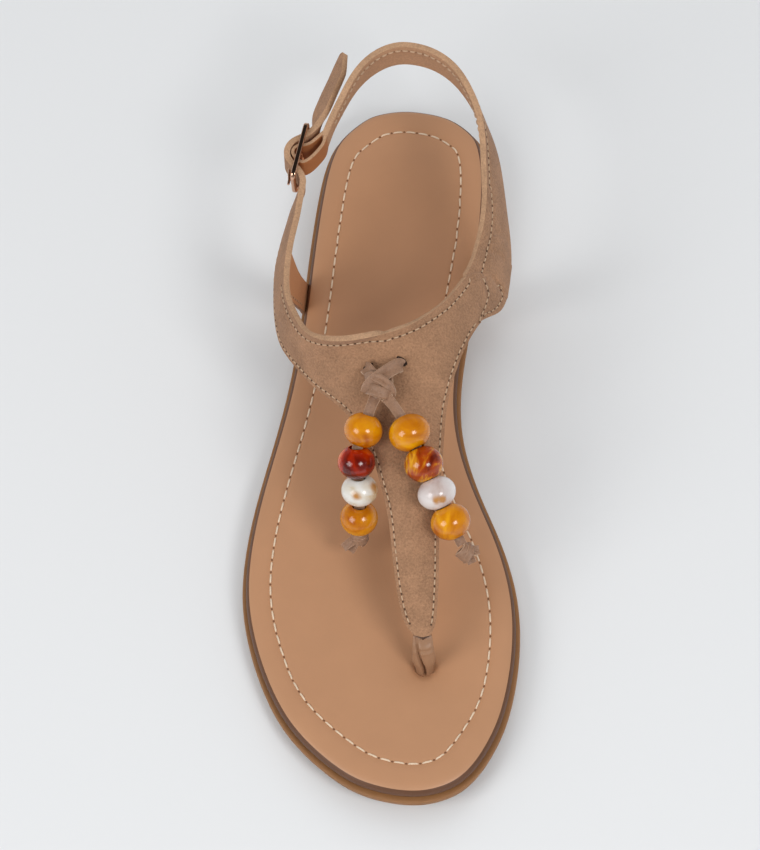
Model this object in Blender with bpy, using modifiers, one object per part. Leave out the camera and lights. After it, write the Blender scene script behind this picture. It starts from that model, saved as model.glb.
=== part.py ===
"""Flat T-strap thong sandal with a beaded tie, right shoe of a pair, women's size 7 (US).

Every size and place below is in millimetres and is scaled to metres when a mesh is made.
The toe points along -Y, the heel along +Y, +X is the inner (medial) side of the foot and
+Z is up. The origin is on the floor, under the middle of the heel.
"""
import math
from collections import namedtuple

import bmesh
import bpy
from mathutils import Matrix, Vector

MM = 0.001
GAP = 0.3

# Sole: the outline from heel to toe, and the heights of its two faces along the foot
RIM_WIDTH = 1.8
FOOTBED_THICKNESS = 4.6
OUTLINE_STEPS = 3
OutlineRow = namedtuple("OutlineRow", "y lateral medial")
OUTLINE = (
    OutlineRow(28.9, -0.8, -0.8),
    OutlineRow(27.3, -10.4, 9.2),
    OutlineRow(24.3, -15.9, 16.9),
    OutlineRow(17.2, -22.9, 24.4),
    OutlineRow(10.0, -26.3, 26.8),
    OutlineRow(-2.0, -28.9, 28.0),
    OutlineRow(-25.0, -31.3, 27.0),
    OutlineRow(-50.0, -33.1, 23.5),
    OutlineRow(-75.0, -36.1, 19.7),
    OutlineRow(-95.0, -40.1, 19.9),
    OutlineRow(-115.0, -44.7, 25.4),
    OutlineRow(-135.0, -48.0, 33.6),
    OutlineRow(-155.0, -48.7, 38.6),
    OutlineRow(-175.0, -44.5, 38.9),
    OutlineRow(-194.0, -36.6, 35.8),
    OutlineRow(-206.0, -27.8, 31.2),
    OutlineRow(-215.0, -18.0, 25.8),
    OutlineRow(-221.0, -8.0, 18.7),
    OutlineRow(-224.0, 7.0, 7.0),
)
HeightRow = namedtuple("HeightRow", "y z")
SOLE_BOTTOM = (
    HeightRow(40.0, 2.0),
    HeightRow(22.0, 0.0),
    HeightRow(-30.0, 0.0),
    HeightRow(-70.0, 2.4),
    HeightRow(-112.0, 0.0),
    HeightRow(-178.0, 0.0),
    HeightRow(-246.0, 5.0),
)
SOLE_TOP = (
    HeightRow(-30.0, 11.0),
    HeightRow(-115.0, 5.5),
    HeightRow(-178.0, 5.5),
    HeightRow(-246.0, 9.7),
)
# One row for each turn of the edge: how far it lies inside the outline, and how far it is
# below the top face (from the top) or above the bottom face (from the bottom)
EdgeRow = namedtuple("EdgeRow", "inset face offset")
OUTSOLE_EDGE = (
    EdgeRow(0.6, "top", 0.0),
    EdgeRow(0.0, "top", -0.6),
    EdgeRow(0.0, "top", -1.6),
    EdgeRow(0.8, "top", -2.0),
    EdgeRow(0.8, "top", -2.6),
    EdgeRow(0.5, "top", -3.0),
    EdgeRow(1.3, "bottom", 1.2),
    EdgeRow(2.8, "bottom", 0.0),
)
FOOTBED_EDGE = (
    EdgeRow(12.0, "top", -0.5),
    EdgeRow(5.0, "top", 0.0),
    EdgeRow(1.8, "top", -0.5),
    EdgeRow(0.5, "top", -1.6),
    EdgeRow(0.0, "top", -3.0),
    EdgeRow(0.4, "bottom", 0.7),
    EdgeRow(1.2, "bottom", 0.0),
)

# Upper: the outer face of each strap, one row to a section, from edge to edge
WALL = 2.0
ACROSS = 4
ALONG = 2
CROWN_SHARE = 0.25
TongueRow = namedtuple("TongueRow", "lateral ridge medial")
TONGUE = (
    TongueRow((7.4, -176.4, 26.0), (9.4, -177.2, 26.3), (11.5, -176.4, 26.0)),
    TongueRow((4.3, -172.8, 26.5), (8.8, -173.2, 27.2), (13.3, -172.8, 26.5)),
    TongueRow((2.1, -165.9, 28.0), (8.0, -166.3, 29.2), (13.9, -165.9, 28.0)),
    TongueRow((0.3, -155.0, 32.0), (7.4, -155.6, 33.6), (14.3, -155.0, 32.0)),
    TongueRow((-1.5, -140.5, 38.0), (6.4, -141.4, 40.0), (14.3, -140.5, 38.0)),
    TongueRow((-4.2, -130.7, 41.5), (5.2, -132.0, 44.2), (14.7, -130.9, 42.0)),
    TongueRow((-7.0, -122.4, 44.0), (4.0, -124.0, 47.8), (15.4, -122.7, 44.5)),
    TongueRow((-14.2, -109.5, 45.5), (1.8, -111.5, 53.6), (16.4, -108.1, 48.5)),
    TongueRow((-24.8, -99.1, 43.0), (-0.7, -100.6, 59.2), (19.7, -94.7, 50.0)),
    TongueRow((-30.4, -91.4, 40.3), (-3.0, -91.8, 64.2), (22.5, -86.5, 49.4)),
)
StrapRow = namedtuple("StrapRow", "low top crown")
LATERAL_ARM = (
    StrapRow((-34.6, -84.5, 37.6), (-12.0, -93.3, 63.0), 5.2),
    StrapRow((-37.6, -78.5, 35.8), (-20.5, -91.6, 59.8), 4.0),
    StrapRow((-39.4, -71.5, 34.4), (-27.6, -86.4, 55.6), 2.9),
    StrapRow((-40.4, -64.0, 33.7), (-32.2, -77.5, 52.0), 2.0),
    StrapRow((-40.8, -56.0, 33.6), (-35.6, -68.0, 49.4), 1.2),
    StrapRow((-40.5, -48.0, 34.5), (-36.4, -58.0, 49.3), 0.8),
    StrapRow((-38.8, -41.0, 37.6), (-35.9, -48.0, 50.4), 0.5),
    StrapRow((-36.7, -36.0, 40.8), (-34.6, -39.5, 51.6), 0.3),
)
MEDIAL_ARM = (
    StrapRow((24.8, -80.8, 48.0), (5.0, -88.6, 64.0), 2.6),
    StrapRow((27.0, -76.0, 45.8), (11.6, -82.8, 62.4), 2.2),
    StrapRow((31.2, -70.9, 41.0), (17.0, -75.6, 59.4), 1.9),
    StrapRow((33.9, -66.8, 38.0), (21.2, -67.6, 56.6), 1.7),
    StrapRow((35.7, -60.5, 36.0), (24.4, -60.0, 54.2), 1.6),
    StrapRow((36.6, -52.5, 34.6), (26.2, -52.5, 52.9), 1.5),
    StrapRow((36.9, -46.0, 34.6), (27.9, -45.1, 52.9), 1.3),
    StrapRow((36.5, -38.5, 36.3), (28.8, -37.0, 53.3), 1.0),
    StrapRow((35.5, -31.0, 38.7), (29.0, -29.0, 54.1), 0.7),
    StrapRow((34.4, -22.5, 41.5), (28.7, -21.0, 55.3), 0.4),
    StrapRow((32.8, -12.9, 44.3), (28.4, -12.9, 57.3), 0.2),
    StrapRow((30.0, -4.2, 46.6), (27.2, -4.8, 59.4), 0.0),
    StrapRow((26.1, 4.1, 48.3), (24.3, 3.2, 60.9), 0.0),
    StrapRow((20.2, 13.5, 49.8), (19.1, 12.6, 61.6), 0.0),
    StrapRow((11.2, 20.8, 50.7), (10.6, 19.7, 61.8), 0.0),
    StrapRow((-0.8, 23.3, 51.0), (-0.8, 22.6, 61.4), 0.0),
    StrapRow((-10.5, 19.3, 50.5), (-10.1, 18.6, 61.1), 0.0),
    StrapRow((-17.4, 12.0, 49.6), (-16.5, 11.4, 60.1), 0.0),
    StrapRow((-22.0, 3.0, 48.6), (-20.9, 2.3, 58.5), 0.0),
    StrapRow((-24.9, -4.1, 48.0), (-24.2, -4.7, 56.4), 0.0),
    StrapRow((-26.6, -10.2, 47.4), (-26.4, -10.6, 55.0), 0.0),
)
# Where the vamp ends on the medial arm its doubled wall stops in a step
SEAM_ROW = 5
SEAM_STEP = 0.8

# Rows of the vamp, before and behind the fork, whose inner points are smoothed
SOFT_ROWS_BEFORE = 8
SOFT_ROWS_BEHIND = 10
SOFT_PASSES = 6

# Side tabs, from the sole up into the wall of the arms: front and rear edge of each
TAB_WALL = 1.4
TAB_INSET = 0.3
TAB_ARM_ROWS = (4, 6)
LATERAL_TAB_COLUMNS = (2, 3)
MEDIAL_TAB_COLUMNS = (0, 1)
TabRow = namedtuple("TabRow", "front rear")
LATERAL_TAB = (
    TabRow((-33.3, -51.5, 10.4), (-32.7, -40.5, 10.9)),
    TabRow((-33.8, -53.2, 15.5), (-33.1, -42.2, 15.5)),
    TabRow((-34.7, -56.4, 23.0), (-33.9, -45.0, 23.0)),
    TabRow((-35.8, -60.0, 32.0), (-35.0, -46.8, 32.0)),
)
MEDIAL_TAB = (
    TabRow((22.9, -55.0, 10.2), (24.7, -42.0, 10.9)),
    TabRow((28.8, -54.6, 15.5), (30.4, -42.0, 15.5)),
    TabRow((33.2, -55.4, 22.5), (34.8, -43.0, 22.5)),
    TabRow((34.8, -57.0, 29.0), (36.2, -45.0, 29.0)),
)

# Buckle: a flat frame with a bar across its middle, standing on edge beside the heel.
# Places near it are given along the frame (u, towards the heel), out of it (v) and up (z)
BUCKLE_CENTRE = Vector((-32.2, -17.1, 51.2))
BUCKLE_ALONG = Vector((0.176, 0.984, 0.0)).normalized()
FRAME_LENGTH = 22.2
FRAME_HEIGHT = 11.4
FRAME_BAR = 1.5
FRAME_THICKNESS = 1.6
FRAME_CORNER = 2.6
MIDDLE_BAR = 2.2
PRONG_DIAMETER = 1.3
# The buckle strap weaves under the front end, over the bar and under the rear end
WeaveRow = namedtuple("WeaveRow", "u v_low v_top z_low z_top")
BUCKLE_STRAP = (
    WeaveRow(-14.0, 0.2, -1.3, 43.8, 53.4),
    WeaveRow(-10.4, -1.7, -1.8, 47.0, 54.7),
    WeaveRow(-7.2, 0.3, 0.2, 47.5, 55.0),
    WeaveRow(-4.2, 4.1, 3.9, 47.3, 55.1),
    WeaveRow(0.0, 5.6, 5.3, 47.3, 55.1),
    WeaveRow(4.2, 4.0, 3.9, 47.3, 55.1),
    WeaveRow(7.2, 0.2, 0.2, 47.3, 55.1),
    WeaveRow(10.4, -1.7, -2.0, 47.3, 55.1),
    WeaveRow(14.0, -0.6, -3.6, 48.3, 55.5),
    WeaveRow(18.0, 0.2, -4.9, 49.4, 56.0),
    WeaveRow(23.0, -0.4, -5.6, 49.8, 56.0),
    WeaveRow(28.0, -1.3, -6.4, 50.4, 56.2),
    WeaveRow(32.0, -2.2, -7.0, 51.0, 56.5),
    WeaveRow(36.6, -3.2, -6.3, 52.2, 56.0),
    WeaveRow(41.0, -4.4, -5.5, 53.6, 55.0),
)
# The thin loop at the end of the heel strap, once round the bar and back into the strap
LOOP_WALL = 1.1
LOOP_LOW = 47.5
LOOP_HIGH = 54.8
LoopRow = namedtuple("LoopRow", "u v")
LOOP = (
    LoopRow(8.6, -5.6),
    LoopRow(4.6, -6.0),
    LoopRow(1.0, -5.0),
    LoopRow(-2.0, -3.6),
    LoopRow(-3.7, -1.9),
    LoopRow(-3.4, -0.4),
    LoopRow(-2.3, 1.1),
    LoopRow(-0.8, 2.2),
    LoopRow(0.9, 2.2),
    LoopRow(2.3, 1.0),
    LoopRow(2.7, -0.7),
    LoopRow(3.8, -2.5),
    LoopRow(5.6, -3.9),
)
PRONG = (
    LoopRow(0.7, 1.6),
    LoopRow(-1.6, 2.2),
    LoopRow(-4.0, 2.5),
    LoopRow(-6.6, 2.2),
    LoopRow(-8.8, 1.8),
    LoopRow(-10.9, 1.75),
)
PRONG_HOLE_START = LoopRow(1.5, 1.9)
PRONG_HOLE_END = 5

# Toe post: an upright strip, one row for each level
PostRow = namedtuple("PostRow", "x y z half_width half_depth")
TOE_POST = (
    PostRow(9.6, -180.4, 5.9, 2.8, 2.3),
    PostRow(9.6, -180.0, 11.0, 3.1, 2.6),
    PostRow(9.5, -179.1, 15.2, 3.7, 2.3),
    PostRow(9.4, -177.1, 20.0, 3.3, 1.6),
    PostRow(9.3, -174.6, 23.4, 2.9, 1.2),
)
POST_SIDES = 12
POST_HOLE_DEEPER = 2.0

# Tie: legs out of the two slits, the wrap that holds them, and the two hanging ends
TIE_RADIUS = 1.4
WRAP_RADIUS = 2.3
TIE_LEGS = (
    ((-8.4, -99.0, 59.2), (-6.4, -102.0, 59.6), (-3.6, -104.8, 59.2), (-1.6, -107.2, 58.4)),
    ((2.4, -98.6, 61.2), (-0.6, -102.0, 61.2), (-3.4, -104.6, 59.8), (-5.2, -106.8, 58.4)),
)
TIE_WRAP = ((-6.6, -104.4, 58.7), (-3.6, -106.2, 59.1), (-0.4, -107.2, 58.8))
LATERAL_END = (
    (-5.4, -110.7, 57.2),
    (-6.6, -113.7, 56.6),
    (-8.9, -119.8, 53.4),
    (-11.5, -126.8, 47.2),
    (-10.1, -132.7, 39.4),
    (-10.9, -137.0, 30.6),
    (-11.0, -139.3, 24.6),
)
MEDIAL_END = (
    (-1.4, -111.3, 58.4),
    (1.6, -115.4, 58.1),
    (5.4, -121.7, 56.4),
    (9.6, -130.2, 51.9),
    (13.7, -138.0, 47.3),
    (17.9, -145.2, 42.0),
    (21.4, -150.6, 37.4),
)
CORD_STEPS = 3
# Beads: middle of each along its end of the lace, length and radius
BeadRow = namedtuple("BeadRow", "place length radius")
LATERAL_BEADS = (
    BeadRow(10.4, 9.2, 6.0),
    BeadRow(20.9, 8.9, 5.8),
    BeadRow(30.5, 8.4, 5.7),
    BeadRow(41.2, 9.6, 5.9),
)
MEDIAL_BEADS = (
    BeadRow(13.0, 9.8, 6.5),
    BeadRow(23.5, 9.6, 6.0),
    BeadRow(33.2, 8.6, 6.0),
    BeadRow(43.0, 9.6, 6.2),
)
BEAD_HOLE_RADIUS = 2.2
BEAD_FACE_RADIUS = 2.7
BEAD_SIDES = 14
BEAD_RINGS = 6
KNOT_SIZE = (3.0, 3.0, 2.5)

# Colours of the pieces, as seen (sRGB, 0 to 255)
SUEDE = (150, 117, 90)
FOOTBED_TAN = (184, 138, 103)
SOLE_BROWN = (125, 85, 50)
ROSE_GOLD = (214, 170, 140)
POST_BROWN = (140, 104, 76)
OCHRE = (205, 134, 22)
AMBER = (150, 50, 8)
SHELL = (222, 212, 198)
BEAD_COLOURS = (OCHRE, AMBER, SHELL, OCHRE)


def spline(points, steps, before=None, after=None):
    """Points of a smooth curve through the given points, with so many steps to each span."""
    points = [Vector(point) for point in points]
    first = before or 2 * points[0] - points[1]
    last = after or 2 * points[-1] - points[-2]
    run = [first, *points, last]
    curve = []
    for a, b, c, d in zip(run, run[1:], run[2:], run[3:]):
        for step in range(steps):
            t = step / steps
            square = (2 * a - 5 * b + 4 * c - d) * t ** 2
            cube = (3 * (b - c) + d - a) * t ** 3
            curve.append(0.5 * (2 * b + (c - a) * t + square + cube))
    curve.append(points[-1])
    return curve


def eased(rows, y):
    """Height at y from rows that run from heel to toe, level at each row."""
    if y >= rows[0].y:
        return rows[0].z
    for back, front in zip(rows, rows[1:]):
        if y >= front.y:
            t = (back.y - y) / (back.y - front.y)
            return back.z + (front.z - back.z) * t * t * (3 - 2 * t)
    return rows[-1].z


def linear(colour):
    """A colour as seen, turned into the linear values a shader takes."""
    shares = [part / 255 for part in colour]
    return [s / 12.92 if s <= 0.04045 else ((s + 0.055) / 1.055) ** 2.4 for s in shares]


def material(name, colour, roughness, metallic=0.0):
    finish = bpy.data.materials.new(name)
    finish.use_nodes = True
    shader = finish.node_tree.nodes["Principled BSDF"]
    shader.inputs["Base Color"].default_value = (*linear(colour), 1.0)
    shader.inputs["Roughness"].default_value = roughness
    shader.inputs["Metallic"].default_value = metallic
    finish.diffuse_color = (*linear(colour), 1.0)
    return finish


def place(name, data, collection, finish=None):
    """A named object around a mesh or curve."""
    piece = bpy.data.objects.new(name, data)
    collection.objects.link(piece)
    if finish:
        data.materials.append(finish)
    if collection is helpers:
        piece.hide_render = True
        piece.display_type = "WIRE"
    return piece


def mesh_piece(name, points, faces, collection, finish=None, closed=True):
    """An object from points in millimetres; a closed one has its faces turned outwards."""
    mesh = bpy.data.meshes.new(name)
    mesh.from_pydata([Vector(point) * MM for point in points], [], faces)
    if closed:
        work = bmesh.new()
        work.from_mesh(mesh)
        bmesh.ops.recalc_face_normals(work, faces=work.faces)
        work.to_mesh(mesh)
        work.free()
    mesh.shade_smooth()
    mesh.set_sharp_from_angle(angle=math.radians(40))
    return place(name, mesh, collection, finish)


def solidify(piece, wall, offset=-1.0):
    shell = piece.modifiers.new("wall", "SOLIDIFY")
    shell.thickness = wall * MM
    shell.offset = offset
    shell.use_even_offset = True
    return shell


def boolean(piece, other, operation):
    cut = piece.modifiers.new(other.name, "BOOLEAN")
    cut.operation = operation
    cut.object = other


def tube(name, points, radius, collection, finish=None):
    """A round tube with filled ends, as a curve object."""
    curve = bpy.data.curves.new(name, "CURVE")
    curve.dimensions = "3D"
    curve.bevel_depth = radius * MM
    curve.bevel_resolution = 2
    curve.use_fill_caps = True
    run = curve.splines.new("POLY")
    run.points.add(len(points) - 1)
    for knot, point in zip(run.points, points):
        knot.co = (*(Vector(point) * MM), 1.0)
    return place(name, curve, collection, finish)


def tube_solid(name, points, radius, collection, finish=None):
    """The same tube as a closed mesh, for joining and cutting."""
    curve = tube(name + "_curve", points, radius, helpers)
    graph = bpy.context.evaluated_depsgraph_get()
    mesh = bpy.data.meshes.new_from_object(curve.evaluated_get(graph))
    mesh.name = name
    work = bmesh.new()
    work.from_mesh(mesh)
    bmesh.ops.remove_doubles(work, verts=work.verts, dist=1e-6)
    bmesh.ops.recalc_face_normals(work, faces=work.faces)
    work.to_mesh(mesh)
    work.free()
    bpy.data.objects.remove(curve)
    return place(name, mesh, collection, finish)


def sole_outline():
    """The outline as a closed ring: heel tip, lateral side, toe tip, medial side."""
    rows = [Vector(row) for row in OUTLINE]
    before = Vector((rows[1][0], rows[1][2], rows[1][1]))
    after = Vector((rows[-2][0], rows[-2][2], rows[-2][1]))
    stations = spline(rows, OUTLINE_STEPS, before, after)
    lateral = [Vector((row[1], row[0])) for row in stations]
    medial = [Vector((row[2], row[0])) for row in stations]
    return lateral + medial[-2:0:-1]


def inset_ring(ring, inset):
    """The ring moved inwards by the inset."""
    moved = []
    for index, point in enumerate(ring):
        along = ring[(index + 1) % len(ring)] - ring[index - 1]
        inwards = Vector((-along.y, along.x)).normalized()
        moved.append(point + inwards * inset)
    return moved


def sole_layer(name, edge, rim, bottom, top, finish):
    """A layer of the sole between two faces, with the given edge."""
    outline = sole_outline()
    count = len(outline)
    points = []
    for row in edge:
        for x, y in inset_ring(outline, rim + row.inset):
            face = top(y) if row.face == "top" else bottom(y)
            points.append((x, y, face + row.offset))
    faces = []
    for ring in range(len(edge) - 1):
        for index in range(count):
            turn = (index + 1) % count
            low, high = ring * count, (ring + 1) * count
            faces.append((low + index, low + turn, high + turn, high + index))
    for start in (0, (len(edge) - 1) * count):
        for index in range(count // 2):
            corners = (index, index + 1, count - index - 1, (count - index) % count)
            faces.append([start + corner for corner in dict.fromkeys(corners)])
    return mesh_piece(name, points, faces, parts, finish)


def outsole_top(y):
    return eased(SOLE_TOP, y)


def outsole_bottom(y):
    return eased(SOLE_BOTTOM, y)


def footbed_bottom(y):
    return outsole_top(y) + GAP


def footbed_top(y):
    return footbed_bottom(y) + FOOTBED_THICKNESS


def buckle_place(u, v, z):
    """A place near the buckle, from its own directions."""
    out = Vector((-BUCKLE_ALONG.y, BUCKLE_ALONG.x, 0.0))
    spot = BUCKLE_CENTRE + BUCKLE_ALONG * u + out * v
    return Vector((spot.x, spot.y, z))


def section(edge, ridge, tangent, crown):
    """Points across a strap, from one edge to the other, bulging outwards by the crown."""
    chord = ridge - edge
    outwards = chord.cross(tangent).normalized()
    shares = [step / ACROSS for step in range(ACROSS + 1)]
    return [edge + chord * s + outwards * crown * 4 * s * (1 - s) for s in shares]


def strap_grid(low, top, crowns, turn):
    """Sections along a strap between two edge curves; turn is -1 where the low edge is medial."""
    grid = []
    for index, (edge, ridge) in enumerate(zip(low, top)):
        ahead = min(index + 1, len(low) - 1)
        behind = max(index - 1, 0)
        tangent = (low[ahead] + top[ahead] - low[behind] - top[behind]) * turn
        grid.append(section(edge, ridge, tangent, crowns[index]))
    return grid


def weave_rows():
    """The buckle strap's rows, turned into rows of a strap."""
    rows = []
    for row in BUCKLE_STRAP:
        low = buckle_place(row.u, row.v_low, row.z_low)
        top = buckle_place(row.u, row.v_top, row.z_top)
        rows.append(StrapRow(low, top, 0.0))
    return rows


def upper_grids():
    """The two halves of the upper's outer face: lateral with buckle strap, medial with heel strap."""
    lateral_rows = [*LATERAL_ARM, *weave_rows()]
    ridge = spline([row.ridge for row in TONGUE], ALONG)
    fork = TONGUE[-1].ridge
    rear = [*(row.top for row in reversed(lateral_rows)), fork, *(row.top for row in MEDIAL_ARM)]
    rear = spline(rear, ALONG)
    split = len(lateral_rows) * ALONG
    halves = []
    sides = (
        ("lateral", lateral_rows, rear[:split][::-1], 1),
        ("medial", MEDIAL_ARM, rear[split + 1:], -1),
    )
    for side, rows, rear_edge, turn in sides:
        tongue_edge = [getattr(row, side) for row in TONGUE]
        low = spline([*tongue_edge, *(row.low for row in rows)], ALONG)
        top = [*ridge, *rear_edge]
        drops = [(row.ridge[2] - edge[2]) * CROWN_SHARE for row, edge in zip(TONGUE, tongue_edge)]
        crowns = spline([(c, 0.0, 0.0) for c in [*drops, *(row.crown for row in rows)]], ALONG)
        halves.append(strap_grid(low, top, [c.x for c in crowns], turn))
    return halves, len(ridge)


def make_upper(finish):
    """Vamp, arms, heel strap and buckle strap as one wall; tabs and loop are joined to it."""
    (lateral, medial), shared = upper_grids()
    points = []
    faces = []
    numbers = {}

    def number(half, row, column):
        on_ridge = column == ACROSS and row < shared
        key = ("ridge", row) if on_ridge else (half, row, column)
        if key not in numbers:
            numbers[key] = len(points)
            grid = medial if half == "medial" else lateral
            points.append(grid[row][column])
        return numbers[key]

    for half, grid in (("lateral", lateral), ("medial", medial)):
        for row in range(len(grid) - 1):
            for column in range(ACROSS):
                face = [
                    number(half, row, column),
                    number(half, row, column + 1),
                    number(half, row + 1, column + 1),
                    number(half, row + 1, column),
                ]
                faces.append(face if half == "lateral" else face[::-1])
    upper = mesh_piece("upper", points, faces, parts, finish, closed=False)
    soft = range(shared - SOFT_ROWS_BEFORE, shared + SOFT_ROWS_BEHIND)
    soften(upper.data, [index for key, index in numbers.items() if key[1] in soft])
    seam = (len(TONGUE) - 1 + SEAM_ROW) * ALONG
    outwards = [vertex.normal.copy() for vertex in upper.data.vertices]
    for (half, row, *_), index in numbers.items():
        if half == "medial" and row > seam:
            upper.data.vertices[index].co -= outwards[index] * SEAM_STEP * MM
    solidify(upper, WALL)

    def arm_points(half, column):
        first, last = ((len(TONGUE) + row) * ALONG for row in TAB_ARM_ROWS)
        indices = [numbers[half, row, column] for row in range(first, last + 1)]
        return [upper.data.vertices[i].co / MM - outwards[i] * TAB_INSET for i in indices]

    tabs = (
        ("lateral", LATERAL_TAB, LATERAL_TAB_COLUMNS),
        ("medial", MEDIAL_TAB, MEDIAL_TAB_COLUMNS),
    )
    for half, rows, columns in tabs:
        seat = [arm_points(half, column) for column in columns]
        boolean(upper, strap_tab(half + "_tab", rows, seat, half == "lateral"), "UNION")
    boolean(upper, buckle_loop(), "UNION")
    hole_rows = [PRONG_HOLE_START, *PRONG[1:PRONG_HOLE_END]]
    hole_run = [buckle_place(row.u, row.v, BUCKLE_CENTRE.z) for row in hole_rows]
    hole = tube_solid("prong_hole", hole_run, PRONG_DIAMETER / 2 + GAP, helpers)
    boolean(upper, hole, "DIFFERENCE")
    return upper


def soften(mesh, chosen):
    """Smooths the chosen points that are not on the edge of a surface."""
    work = bmesh.new()
    work.from_mesh(mesh)
    work.verts.ensure_lookup_table()
    inner = [work.verts[index] for index in chosen if not work.verts[index].is_boundary]
    for _ in range(SOFT_PASSES):
        bmesh.ops.smooth_vert(work, verts=inner, factor=0.5,
                              use_axis_x=True, use_axis_y=True, use_axis_z=True)
    work.to_mesh(mesh)
    work.free()


def strap_tab(name, rows, seat, flip):
    """A side tab: its outer face from the sole up to its seat in the arm, and the wall behind it."""
    columns = len(seat[0])
    levels = []
    for row in rows:
        front, rear = Vector(row.front), Vector(row.rear)
        levels.append([front.lerp(rear, column / (columns - 1)) for column in range(columns)])
    lines = [spline(line, ALONG) for line in zip(*levels, *seat)]
    points = [point for line in lines for point in line]
    count = len(lines[0])
    faces = []
    for line in range(columns - 1):
        for level in range(count - 1):
            first = line * count + level
            face = (first, first + count, first + count + 1, first + 1)
            faces.append(face[::-1] if flip else face)
    piece = mesh_piece(name, points, faces, helpers, closed=False)
    solidify(piece, TAB_WALL)
    return piece


def buckle_loop():
    """The folded end of the heel strap, a closed ribbon round the bar."""
    plan = [Vector((row.u, row.v, 0.0)) for row in LOOP]
    ring = spline([*plan, plan[0]], ALONG)[:-1]
    count = len(ring)
    points = []
    for level in (LOOP_LOW, LOOP_HIGH):
        points.extend(buckle_place(spot.x, spot.y, level) for spot in ring)
    faces = []
    for index in range(count):
        turn = (index + 1) % count
        faces.append((index, turn, count + turn, count + index))
    loop = mesh_piece("buckle_loop", points, faces, helpers, closed=False)
    solidify(loop, LOOP_WALL, 0.0)
    return loop


def rounded_rectangle(middle, length, height, corner, steps=4):
    """Corner-rounded outline in the frame's own plane."""
    points = []
    for quarter, (right, up) in enumerate(((1, 1), (-1, 1), (-1, -1), (1, -1))):
        x = middle + right * (length / 2 - corner)
        y = up * (height / 2 - corner)
        for step in range(steps + 1):
            angle = math.radians(90) * (quarter + step / steps)
            points.append((x + corner * math.cos(angle), y + corner * math.sin(angle)))
    return points


def make_frame(finish):
    """Buckle frame: an extruded outline with a window on each side of the bar."""
    window = (FRAME_LENGTH - MIDDLE_BAR) / 2 - FRAME_BAR
    window_middle = (MIDDLE_BAR + window) / 2
    window_height = FRAME_HEIGHT - 2 * FRAME_BAR
    outlines = (
        rounded_rectangle(0.0, FRAME_LENGTH, FRAME_HEIGHT, FRAME_CORNER),
        rounded_rectangle(-window_middle, window, window_height, FRAME_CORNER - FRAME_BAR),
        rounded_rectangle(window_middle, window, window_height, FRAME_CORNER - FRAME_BAR),
    )
    curve = bpy.data.curves.new("buckle_frame", "CURVE")
    curve.dimensions = "2D"
    curve.fill_mode = "BOTH"
    curve.extrude = FRAME_THICKNESS / 2 * MM
    for outline in outlines:
        run = curve.splines.new("POLY")
        run.points.add(len(outline) - 1)
        run.use_cyclic_u = True
        for knot, (x, y) in zip(run.points, outline):
            knot.co = (x * MM, y * MM, 0.0, 1.0)
    frame = place("buckle_frame", curve, parts, finish)
    up = Vector((0.0, 0.0, 1.0))
    turn = Matrix((BUCKLE_ALONG, up, BUCKLE_ALONG.cross(up))).transposed()
    frame.matrix_world = Matrix.Translation(BUCKLE_CENTRE * MM) @ turn.to_4x4()
    return frame


def post_rings(grow, rows):
    """Rounded sections of the toe post, grown by a clearance."""
    rings = []
    for row in rows:
        ring = []
        for side in range(POST_SIDES):
            angle = math.tau * side / POST_SIDES
            x = row.x + (row.half_width + grow) * math.cos(angle)
            y = row.y + (row.half_depth + grow) * math.sin(angle)
            ring.append(Vector((x, y, row.z)))
        rings.append(ring)
    return rings


def post_solid(name, rings, collection, finish=None):
    points = [point for ring in rings for point in ring]
    faces = [list(range(POST_SIDES)), list(range(len(points) - POST_SIDES, len(points)))]
    for level in range(len(rings) - 1):
        for side in range(POST_SIDES):
            turn = (side + 1) % POST_SIDES
            low, high = level * POST_SIDES, (level + 1) * POST_SIDES
            faces.append((low + side, low + turn, high + turn, high + side))
    return mesh_piece(name, points, faces, collection, finish)


def make_tie_knot(finish):
    """The crossing legs of the tie and the wrap over them, joined."""
    knot = tube_solid("tie_knot", spline(TIE_LEGS[0], CORD_STEPS), TIE_RADIUS, parts, finish)
    leg = tube_solid("tie_leg", spline(TIE_LEGS[1], CORD_STEPS), TIE_RADIUS, helpers)
    wrap = tube_solid("tie_wrap", spline(TIE_WRAP, CORD_STEPS), WRAP_RADIUS, helpers)
    boolean(knot, leg, "UNION")
    boolean(knot, wrap, "UNION")
    return knot


def along_route(route, distance):
    """The place at a distance along a route of points."""
    for start, end in zip(route, route[1:]):
        span = (end - start).length
        if distance <= span:
            return start + (end - start) * (distance / span)
        distance -= span
    return route[-1]


def turned(name, profile, sides, collection, finish):
    """A turned piece: a closed profile spun about its own Z axis."""
    mesh = bpy.data.meshes.new(name)
    count = len(profile)
    edges = [(index, (index + 1) % count) for index in range(count)]
    mesh.from_pydata([(radius * MM, 0.0, z * MM) for radius, z in profile], edges, [])
    piece = place(name, mesh, collection, finish)
    spin = piece.modifiers.new("turn", "SCREW")
    spin.steps = sides
    spin.render_steps = sides
    spin.use_merge_vertices = True
    spin.merge_threshold = 0.00001
    return piece


def bead_profile(bead):
    """Outer side from top to bottom, then the hole from bottom to top."""
    half = bead.length / 2
    start = math.acos(BEAD_FACE_RADIUS / bead.radius)
    profile = []
    for ring in range(BEAD_RINGS + 1):
        angle = start * (1 - 2 * ring / BEAD_RINGS)
        profile.append((bead.radius * math.cos(angle), half * math.sin(angle) / math.sin(start)))
    profile.append((BEAD_HOLE_RADIUS, -half))
    profile.append((BEAD_HOLE_RADIUS, half))
    return profile


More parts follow.
